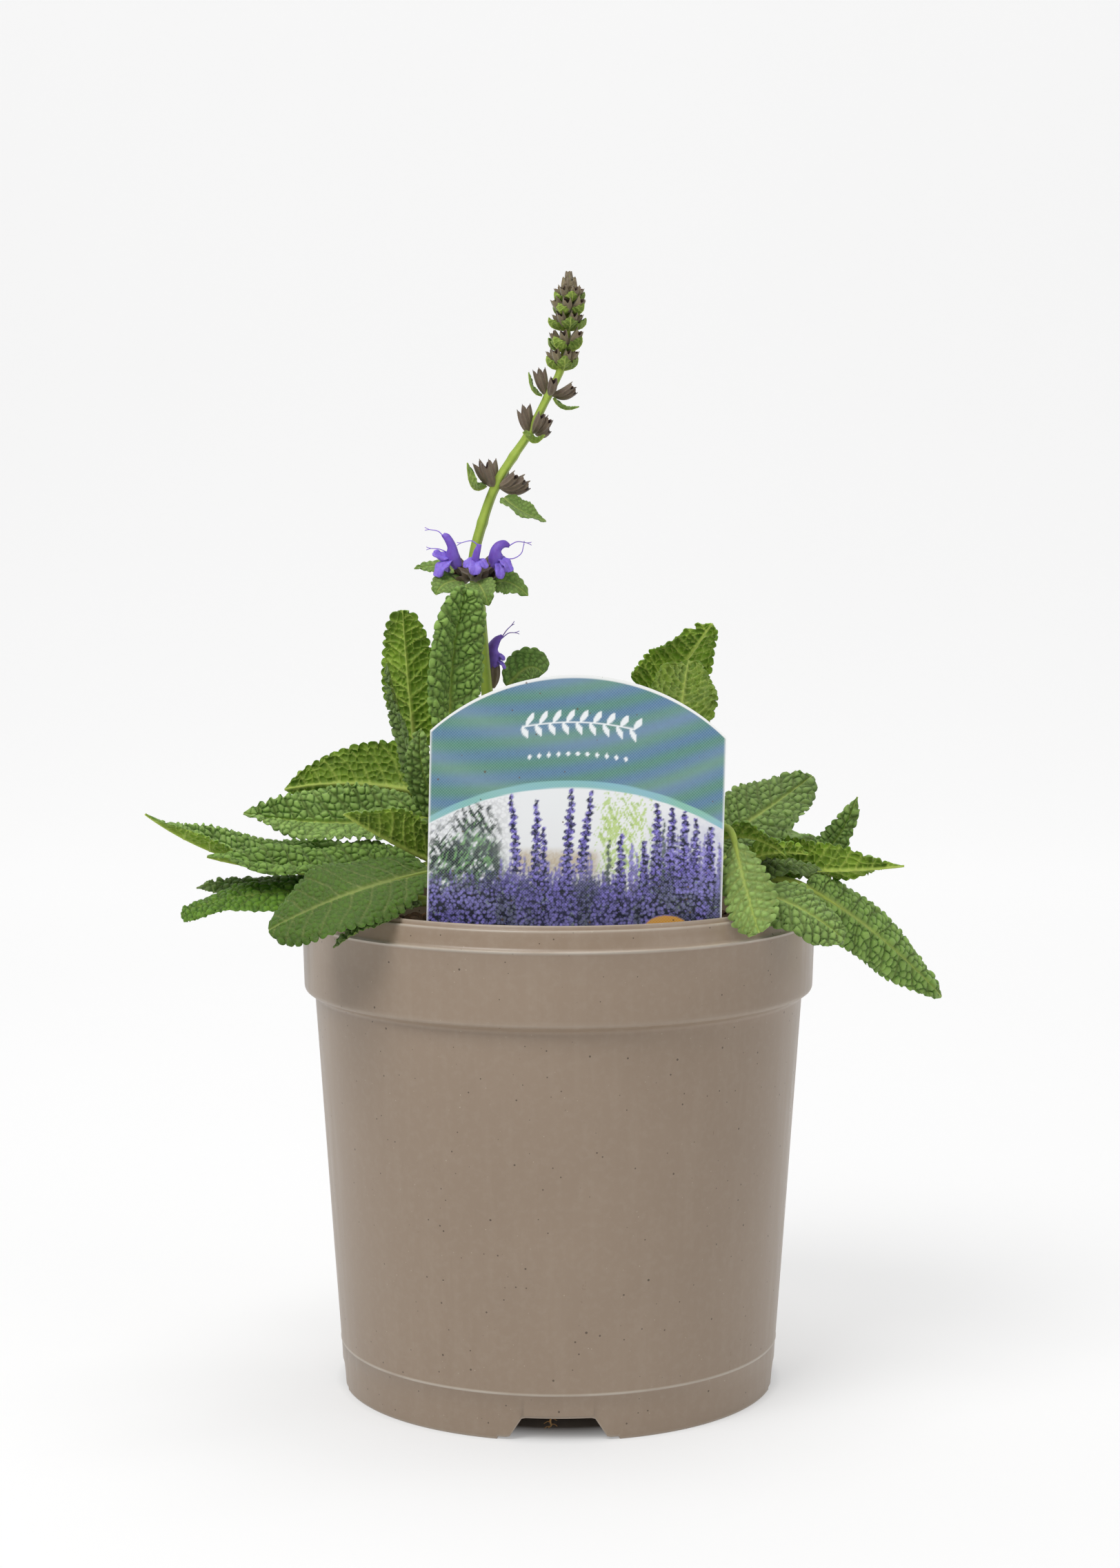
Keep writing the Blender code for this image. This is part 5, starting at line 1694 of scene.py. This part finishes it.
@dataclass
class PlantTag:
    """The printed card: an arched top on straight sides, on a pointed stake.

    The print is a sky-and-sea ground with soft slanting bands, a plain sprig, and under a pale arc a garden
    picture: a conifer on the left, tall flower spikes, yellow-green leaves, and a bank of violet flowers.
    It is worked out by formula over the card, with heights from the card's lower edge.
    """

    width: float = 91.8
    thick: float = 0.55
    shoulder: float = 69.5
    arch: float = 18.2
    base: float = 152.5
    centre: float = 4.6
    front: float = -63.6
    stake: float = 26.0
    stake_point: float = 78.0
    stake_taper: float = 20.0
    lean: float = math.radians(2.0)
    roll: float = math.radians(1.3)
    arc_top: float = 55.1
    arc_drop: float = 12.3
    arc_band: float = 2.3
    badge: tuple = ((29.0, 7.6), (8.6, 5.0))
    grid: tuple = (216, 220)
    spikes: tuple = (
        (-20.5, 50.4, -18.4, 30.0, 1.6), (-12.4, 48.7, -12.2, 24.0, 1.9), (-10.1, 40.1, -9.4, 16.0, 1.7),
        (-1.5, 52.4, -3.0, 22.0, 2.1), (4.7, 52.0, 2.0, 30.0, 1.8), (14.1, 38.9, 14.0, 16.0, 2.0),
        (25.2, 48.3, 25.2, 12.0, 2.4), (29.9, 47.0, 29.4, 12.0, 2.3), (33.8, 46.1, 33.0, 12.0, 2.5),
        (37.2, 44.0, 37.2, 14.0, 2.0), (41.9, 41.4, 41.4, 12.0, 2.5), (21.4, 36.6, 21.4, 12.0, 2.1),
    )
    dark_spikes: tuple = (
        (10.3, 36.7, 10.2, 18.0, 1.2), (-24.8, 34.6, -24.6, 24.0, 1.3), (27.2, 43.5, 27.2, 20.0, 1.1),
    )

    def place(self, points: Array) -> Array:
        """Stands points of the card, (across, out, height), in place.

        Leaning back and rolled to the right.
        """
        across, out, up = points[..., 0], points[..., 1], points[..., 2]
        rolled = across * math.cos(self.roll) + up * math.sin(self.roll)
        height = up * math.cos(self.roll) - across * math.sin(self.roll)
        back = out * math.cos(self.lean) + height * math.sin(self.lean)
        height = height * math.cos(self.lean) - out * math.sin(self.lean)
        return np.stack([self.centre + rolled, self.front + back, self.base + height], axis=-1)

    def arc(self, u: Array, top: float, drop: float) -> Array:
        """Height of a circular arc at u.

        Its top less the fall of a circle that drops so far at the edge.
        """
        radius = ((self.width / 2) ** 2 + drop**2) / (2 * drop)
        return top - radius + np.sqrt(radius**2 - u**2)

    def oval(self, u: Array, h: Array) -> Array:
        """1 at the middle of the plain oval badge, and 0 at its edge."""
        (middle_u, half_u), (middle_h, half_h) = self.badge
        return 1 - ((u - middle_u) / half_u) ** 2 - ((h - middle_h) / half_h) ** 2

    def spike_mask(self, u: Array, h: Array, spikes: tuple, seed: int) -> Array:
        """How much of a flower spike is at a place: whorls about 2 mm apart that narrow to the tip."""
        mask = np.zeros(u.shape)
        for number, (u_top, top, u_low, low, half) in enumerate(spikes):
            s = np.clip((top - h) / (top - low), 0, 1)
            middle = u_top + (u_low - u_top) * s + 0.25 * np.sin(h * 0.9 + number)
            whorl = 0.22 + 0.78 * np.abs(np.sin(math.pi * (h / 2.1 + 0.3 * number))) ** 0.8
            reach = (
                1.15 * half * (0.3 + 0.7 * s**0.6) * whorl
                * (0.75 + 0.5 * drift(u * 1.6 + number, h * 1.6, seed))
            )
            inside = step_up(reach - np.abs(u - middle), -0.1, 0.35) * (h < top) * (h > low - 4)
            mask = np.maximum(mask, inside)
        return mask

    def row_mask(self, u: Array, h: Array) -> Array:
        """The crowd of further spikes: one every 2.4 mm, taller to the right, each tapering to its top."""
        mask = np.zeros(u.shape)
        for shift, seed in ((0.0, 51), (1.2, 57)):
            k = np.round((u - shift) / 2.4)
            own = lattice(k, np.zeros_like(k), seed)
            other = lattice(k, np.ones_like(k), seed)
            top = (
                26 + 7 * own + 11 * step_up(u, 12, 27) * (0.55 + 0.45 * other)
                - 5 * step_up(np.abs(u - 9), 4, 1)
            )
            top = top - 6 * step_up(u, -20, -27)
            s = np.clip((top - h) / 16, 0, 1)
            middle = 2.4 * k + shift + 0.9 * (other - 0.5) + 0.2 * np.sin(h + 5 * own)
            whorl = 0.35 + 0.65 * np.abs(np.sin(math.pi * (h / 1.8 + own))) ** 0.8
            reach = 1.25 * (0.25 + 0.75 * s**0.6) * whorl
            mask = np.maximum(mask, step_up(reach - np.abs(u - middle), -0.1, 0.3) * (h < top))
        return mask

    def ground(self, u: Array, h: Array) -> Array:
        """The upper ground: blue with sea-green bands, level on the left and rising to the right."""
        band = np.sin(
            2 * math.pi * ((h - 0.0022 * (u + 46) ** 2) / 7.0 + 0.12 * (drift(u / 20, h / 12, 4) - 0.5))
        )
        share = np.clip(0.5 + 0.42 * band + 0.25 * (drift(u / 34, h / 20, 6) - 0.5), 0, 1)
        colour = over(flat(u, 80, 120, 156), share, toned(78, 134, 114))
        return colour * (0.94 + 0.12 * drift(u / 0.6, h / 0.6, 8))[..., None]

    def sprig(self, u: Array, h: Array) -> Array:
        """The plain ornament: a stem with pairs of leaves, over a row of small lozenges."""
        v = h - 73.0 + 0.012 * u**2 * 0.5
        mask = step_up(0.42 - np.abs(v), 0, 0.25) * (np.abs(u) < 17.5)
        for side in (-1, 1):
            k = np.round((u - side * 0.7) / 4.2)
            du = u - side * 0.7 - 4.2 * k - 0.55 * side * v
            dv = side * v
            leaf = 1.15 * np.sqrt(np.clip(1 - ((dv - 2.0) / 1.9) ** 2, 0, 1))
            mask = np.maximum(mask, step_up(leaf - np.abs(du), 0, 0.3) * (np.abs(k) < 4.5))
        w = h - 63.2 + 0.006 * u**2
        k = np.round(u / 3.0)
        lozenge = 0.85 - np.abs(u - 3.0 * k) - 0.8 * np.abs(w)
        return np.maximum(mask, step_up(lozenge, 0, 0.25) * (np.abs(k) < 5.5))

    def picture(self, u: Array, h: Array) -> Array:
        """The garden picture under the arc."""
        rough = drift(u / 0.5, h / 0.5, 21)
        long = drift(u / 0.45 + 0.9 * h, h / 1.6, 22)
        other = drift(u / 0.45 - 1.1 * h, h / 1.5, 23)
        colour = flat(u, 234, 235, 236)
        tan = step_up(h, 34.5, 31.0) * step_up(h, 24, 27) * step_up(np.abs(u + 6), 15, 11)
        colour = over(colour, tan * (0.5 + 0.5 * rough), toned(186, 164, 128))
        crown = (
            30 + 19 * np.exp(-(((u + 31) / 9) ** 2)) + 5 * np.exp(-(((u + 45) / 8) ** 2))
            + 5 * (rough - 0.5)
        )
        bough = np.maximum(drift(u / 0.85 + 0.7 * h, h / 2.3, 41), drift(u / 0.85 - 0.8 * h, h / 2.0, 42))
        needle = step_up(bough, 0.58, 0.72) * step_up(crown - h, -4, 4) * step_up(u, -20, -26)
        thick = step_up(crown - h, 4, 13) * step_up(u, -19, -26)
        colour = over(colour, 0.9 * thick * step_up(bough, 0.34, 0.5), toned(48, 98, 56))
        colour = over(colour, needle, toned(20, 42, 28))
        lit = step_up(other, 0.66, 0.82) * step_up(crown - h, 2, 8) * step_up(u, -22, -28)
        colour = over(colour, 0.85 * lit, toned(116, 168, 96))
        spread = np.exp(-(((u - 17) / 6.5) ** 2)) + 0.7 * np.exp(-(((u - 9.5) / 3.0) ** 2))
        spread = spread * step_up(h, 53.5, 46) * step_up(h, 22, 28) * (h < 52)
        frond = step_up(np.maximum(long, other) + 0.35 * spread, 0.86, 1.02) * (spread > 0.12)
        colour = over(colour, 0.85 * frond, toned(176, 204, 92))
        colour = over(colour, 0.7 * step_up(long, 0.8, 0.95) * spread, toned(110, 148, 60))
        haze = step_up(u, 20, 27) * step_up(h, 49, 36)
        colour = over(colour, 0.55 * haze * (0.4 + 0.6 * rough), toned(150, 146, 190))
        violet = over(flat(u, 86, 70, 164), step_up(rough, 0.35, 0.8), toned(138, 124, 220))
        violet = over(violet, step_up(drift(u / 0.7, h / 0.7, 27), 0.62, 0.8), toned(38, 40, 62))
        far = self.row_mask(u, h)
        faded = over(violet, np.full(u.shape, 0.25), toned(170, 168, 190))
        colour = over(colour, far, faded)
        colour = over(colour, 0.95 * self.spike_mask(u, h, self.dark_spikes, 33), toned(44, 62, 50))
        spikes = self.spike_mask(u, h, self.spikes, 31)
        colour = over(colour, spikes, violet)
        near, _, mark = cells(u / 1.15, h / 1.15, 35)
        column = drift(u / 3.3, h / 13, 37)
        bank_top = 22.5 + 7.5 * (drift(u / 3.0, 0 * h, 39) - 0.4) + 5 * step_up(u, 18, 30)
        bank_top = bank_top - 4 * step_up(np.abs(u - 9), 4, 1)
        bank = step_up(bank_top - h + 5 * (rough - 0.5), -2.5, 2.0)
        dark = step_up(0.46 - column + 0.22 * (mark - 0.5), -0.03, 0.12)
        petal = np.clip(1.15 - 1.5 * near, 0, 1) * (0.55 + 0.6 * mark)
        flowers = over(flat(u, 54, 46, 116), petal, toned(138, 124, 222))
        flowers = over(flowers, 0.85 * dark * (0.5 + 0.5 * rough), toned(36, 52, 40))
        flowers = over(flowers, 0.6 * step_up(np.maximum(long, other), 0.84, 0.95), toned(120, 146, 84))
        colour = over(colour, bank, flowers)
        return over(colour, step_up(self.oval(u, h), 0, 0.12), toned(226, 160, 38))

    def busy(self, u: Array, h: Array) -> Array:
        """How much fine print there is at a place.

        All of it in the flowers, less in the conifer, none above.
        """
        low = 0.9 * step_up(h, 31, 16) + 0.22 * step_up(u, -16, -26)
        spikes = self.spike_mask(u, h, self.spikes, 31)
        edge = self.arc(u, self.arc_top - self.arc_band - 0.6, self.arc_drop - 0.2)
        badge = step_up(self.oval(u, h), -0.1, 0.0)
        return np.clip(low + spikes, 0, 1) * (h < edge) * (np.abs(u) < self.width / 2 - 0.6) * (1 - badge)

    def print_colours(self, u: Array, h: Array) -> Array:
        """The whole print: ground, sprig, arc, picture, and the card's white margin."""
        colour = over(self.ground(u, h), self.sprig(u, h), toned(236, 240, 242))
        upper = self.arc(u, self.arc_top, self.arc_drop)
        lower = self.arc(u, self.arc_top - self.arc_band, self.arc_drop - 0.2)
        sweep = drift(u / 11, h / 8, 12)
        light = over(flat(u, 122, 176, 200), sweep, toned(132, 190, 160))
        band = step_up(upper - h, 0, 0.35)
        colour = over(colour, band, light)
        inside = step_up(lower - h, 0, 0.35)
        colour = over(colour, inside, self.picture(u, h))
        top = self.arc(u, self.shoulder + self.arch, self.arch)
        margin = np.maximum(step_up(top - h, 1.05, 0.75), step_up(self.width / 2 - np.abs(u), 0.5, 0.3))
        return over(colour, margin, toned(240, 240, 238))

    def card(self) -> Surface:
        """The card: a grid across and up to the arch, printed on both faces, slightly bowed."""
        across = np.linspace(-0.5, 0.5, self.grid[1]) * self.width
        climb = np.linspace(0, 1, self.grid[0])[:, None]
        u = np.broadcast_to(across[None], self.grid)
        h = climb * self.arc(u, self.shoulder + self.arch, self.arch)
        bow = -0.5 * (u / (self.width / 2)) ** 2 + 0.25
        front = self.place(np.stack([u, bow, h], axis=-1))
        back = self.place(np.stack([u, bow + self.thick, h], axis=-1))
        ink = self.print_colours(u, h)
        blank = np.broadcast_to(toned(232, 232, 228), ink.shape)
        busy = self.busy(u, h)
        made = shell(front, back, {"busy": (busy, 0 * busy)})
        made.values["ink"] = np.concatenate([ink.reshape(-1, 3), blank.reshape(-1, 3)])
        return made

    def peg(self) -> Surface:
        """The stake below the card: a slat that narrows to its point."""
        depth = self.base - self.stake_point
        drop = np.linspace(0.5, -depth, 40)[:, None]
        half = self.stake / 2 * np.clip((depth + drop) / self.stake_taper, 0.1, 1)
        u = half * np.linspace(-1, 1, 9)[None]
        up = np.broadcast_to(drop, u.shape)
        faces = [
            self.place(np.stack([u, np.full(u.shape, y), up], axis=-1)) for y in (0.3, 0.25 + self.thick)
        ]
        made = shell(faces[0], faces[1], {})
        made.values["ink"] = np.broadcast_to(toned(226, 226, 222), (len(made.points), 3))
        return made

    def build(self, finish: bpy.types.Material) -> None:
        """Builds the card and its stake."""
        add_piece("tag_card", self.card(), finish, ("tag",), 40)
        add_piece("tag_stake", self.peg(), finish, (), 40)


# ---------------------------------------------------------------------------------------------------------
# Studio


@dataclass
class Studio:
    """A pale floor that curves up into a backdrop, soft lights, and the camera, in metres."""

    camera_place: tuple = (0.0005, -0.9694, 0.2969)
    pitch: float = 0.0995
    lens: float = 67.5
    paper: tuple = (0.45, 0.45, 0.45)
    floor_glow: float = 0.45
    wall_glow: float = 0.61
    air: float = 0.3
    lamps: tuple = (
        ("key", (-0.6, -0.8, 1.4), (0.0, 0.0, 0.15), 0.85, 17.5),
        ("fill", (1.3, -0.9, 0.8), (0.0, 0.0, 0.15), 0.9, 4.0),
        ("top", (0.15, 0.1, 1.5), (0.0, 0.0, 0.1), 0.7, 6.0),
    )

    def backdrop(self) -> None:
        """The floor and backdrop: a flat run, then a quarter circle, then a wall."""
        bend = np.linspace(0, math.pi / 2, 24)
        start, radius = 1.2, 0.9
        curve = [(start + radius * math.sin(a), radius - radius * math.cos(a)) for a in bend]
        line = np.array([(-4.0, 0.0), (start, 0.0), *curve, (start + radius, 4.0)])
        across = np.broadcast_to(np.array([[-5.0, 5.0]]), (len(line), 2))
        back, up = (np.repeat(line[:, k : k + 1], 2, 1) for k in range(2))
        points = np.stack([across, back, up], axis=-1)
        mesh = bpy.data.meshes.new("paper_sweep")
        mesh.from_pydata(points.reshape(-1, 3).tolist(), [], grid_faces(len(line), 2).tolist())
        mesh.shade_smooth()
        kit = Finish("paper", Emission_Strength=1.0)
        depth = kit.sheet.add("SeparateXYZ", {0: kit.place}).outputs["Y"]
        level = kit.sheet.span(depth, 0.0, 1.3, self.floor_glow, self.wall_glow)
        # The glow fades to nothing from 75 mm to 58 mm from the pot's axis: a painted contact shadow round
        # the pot's foot.
        reach = kit.sheet.add("VectorMath", {0: kit.place}, operation="LENGTH").outputs["Value"]
        level = kit.sheet.sum("MULTIPLY", level, kit.sheet.span(reach, 0.058, 0.075))
        kit.sheet.fill(kit.shader.inputs["Emission Color"], kit.sheet.grey(level))
        mottle = kit.effect(Effect.MOTTLE, 3.0)
        colour = kit.sheet.blend(mottle, self.paper, tuple(0.985 * c for c in self.paper))
        mesh.materials.append(kit.show(colour, 0.9))
        put("paper_sweep", mesh)

    def light(self) -> None:
        """The lamps, each a square that looks at its target, and an even pale world."""
        for name, place, target, size, power in self.lamps:
            lamp = bpy.data.lights.new(name, "AREA")
            lamp.size = size
            lamp.energy = power
            held = put(name, lamp)
            way = unit(np.array(place) - np.array(target))
            held.location = place
            held.rotation_euler = (math.acos(way[2]), 0.0, math.atan2(way[1], way[0]) + math.pi / 2)
        world = bpy.data.worlds.new("studio_air")
        world.use_nodes = True
        air = world.node_tree.nodes["Background"].inputs
        air["Color"].default_value = (1.0, 1.0, 1.0, 1.0)
        air["Strength"].default_value = self.air
        bpy.context.scene.world = world
        bpy.context.scene.view_settings.view_transform = "Standard"

    def aim(self) -> None:
        """The camera."""
        camera = bpy.data.cameras.new("camera")
        camera.lens = self.lens
        camera.clip_start = 0.01
        held = put("camera", camera)
        held.location = self.camera_place
        held.rotation_euler = (math.pi / 2 - self.pitch, 0.0, 0.0)
        bpy.context.scene.camera = held


def main() -> None:
    """Loads the frame, builds each sub-assembly in turn, and sets up the camera, backdrop and lights."""
    logging.basicConfig(level=logging.INFO, format="%(name)s: %(message)s")
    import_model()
    studio = Studio()
    studio.aim()
    leaf = LeafFinish().make()
    # The small leaves' first two colours are the painted light on their domes' tops and the painted shade in
    # the creases.
    bract = LeafFinish(
        "small_leaf", (140, 164, 84), (70, 98, 34), midrib=(176, 190, 96), under=(138, 164, 66),
    ).make()
    finishes = {
        "bract_green": bract,
        "stem_green": SoftFinish("stem_green", (168, 188, 70), (116, 146, 36), 500.0).make(),
        "husk": SoftFinish("husk", (138, 122, 92), (62, 44, 48), 420.0, 0.6, 0.05, 0.3, 0.15).make(),
        "bud_green": SoftFinish(
            "bud_green", (152, 142, 100), (76, 56, 54), 420.0, 0.6, 0.05, 0.3, 0.15,
        ).make(),
        "petal_violet": SoftFinish(
            "petal_violet", (138, 116, 222), (92, 40, 158), 500.0, 0.5, 0.2, 0.1,
        ).make(),
        "root": SoftFinish("root", (190, 152, 92), (140, 98, 48), 900.0, 0.6).make(),
        "crown_bark": SoftFinish(
            "crown_bark", (120, 124, 66), (72, 58, 34), 400.0, 0.8, 0.02, 0.1, 0.4,
        ).make(),
    }
    Foliage().build(leaf, bract, finishes["crown_bark"])
    FlowerSpike().build(finishes)
    NurseryPot().build(PotFinish().make())
    Compost().build(CompostFinish().make())
    StrayRoot().build(finishes["root"])
    PlantTag().build(TagFinish().make())
    studio.backdrop()
    studio.light()


if __name__ == "__main__":
    main()
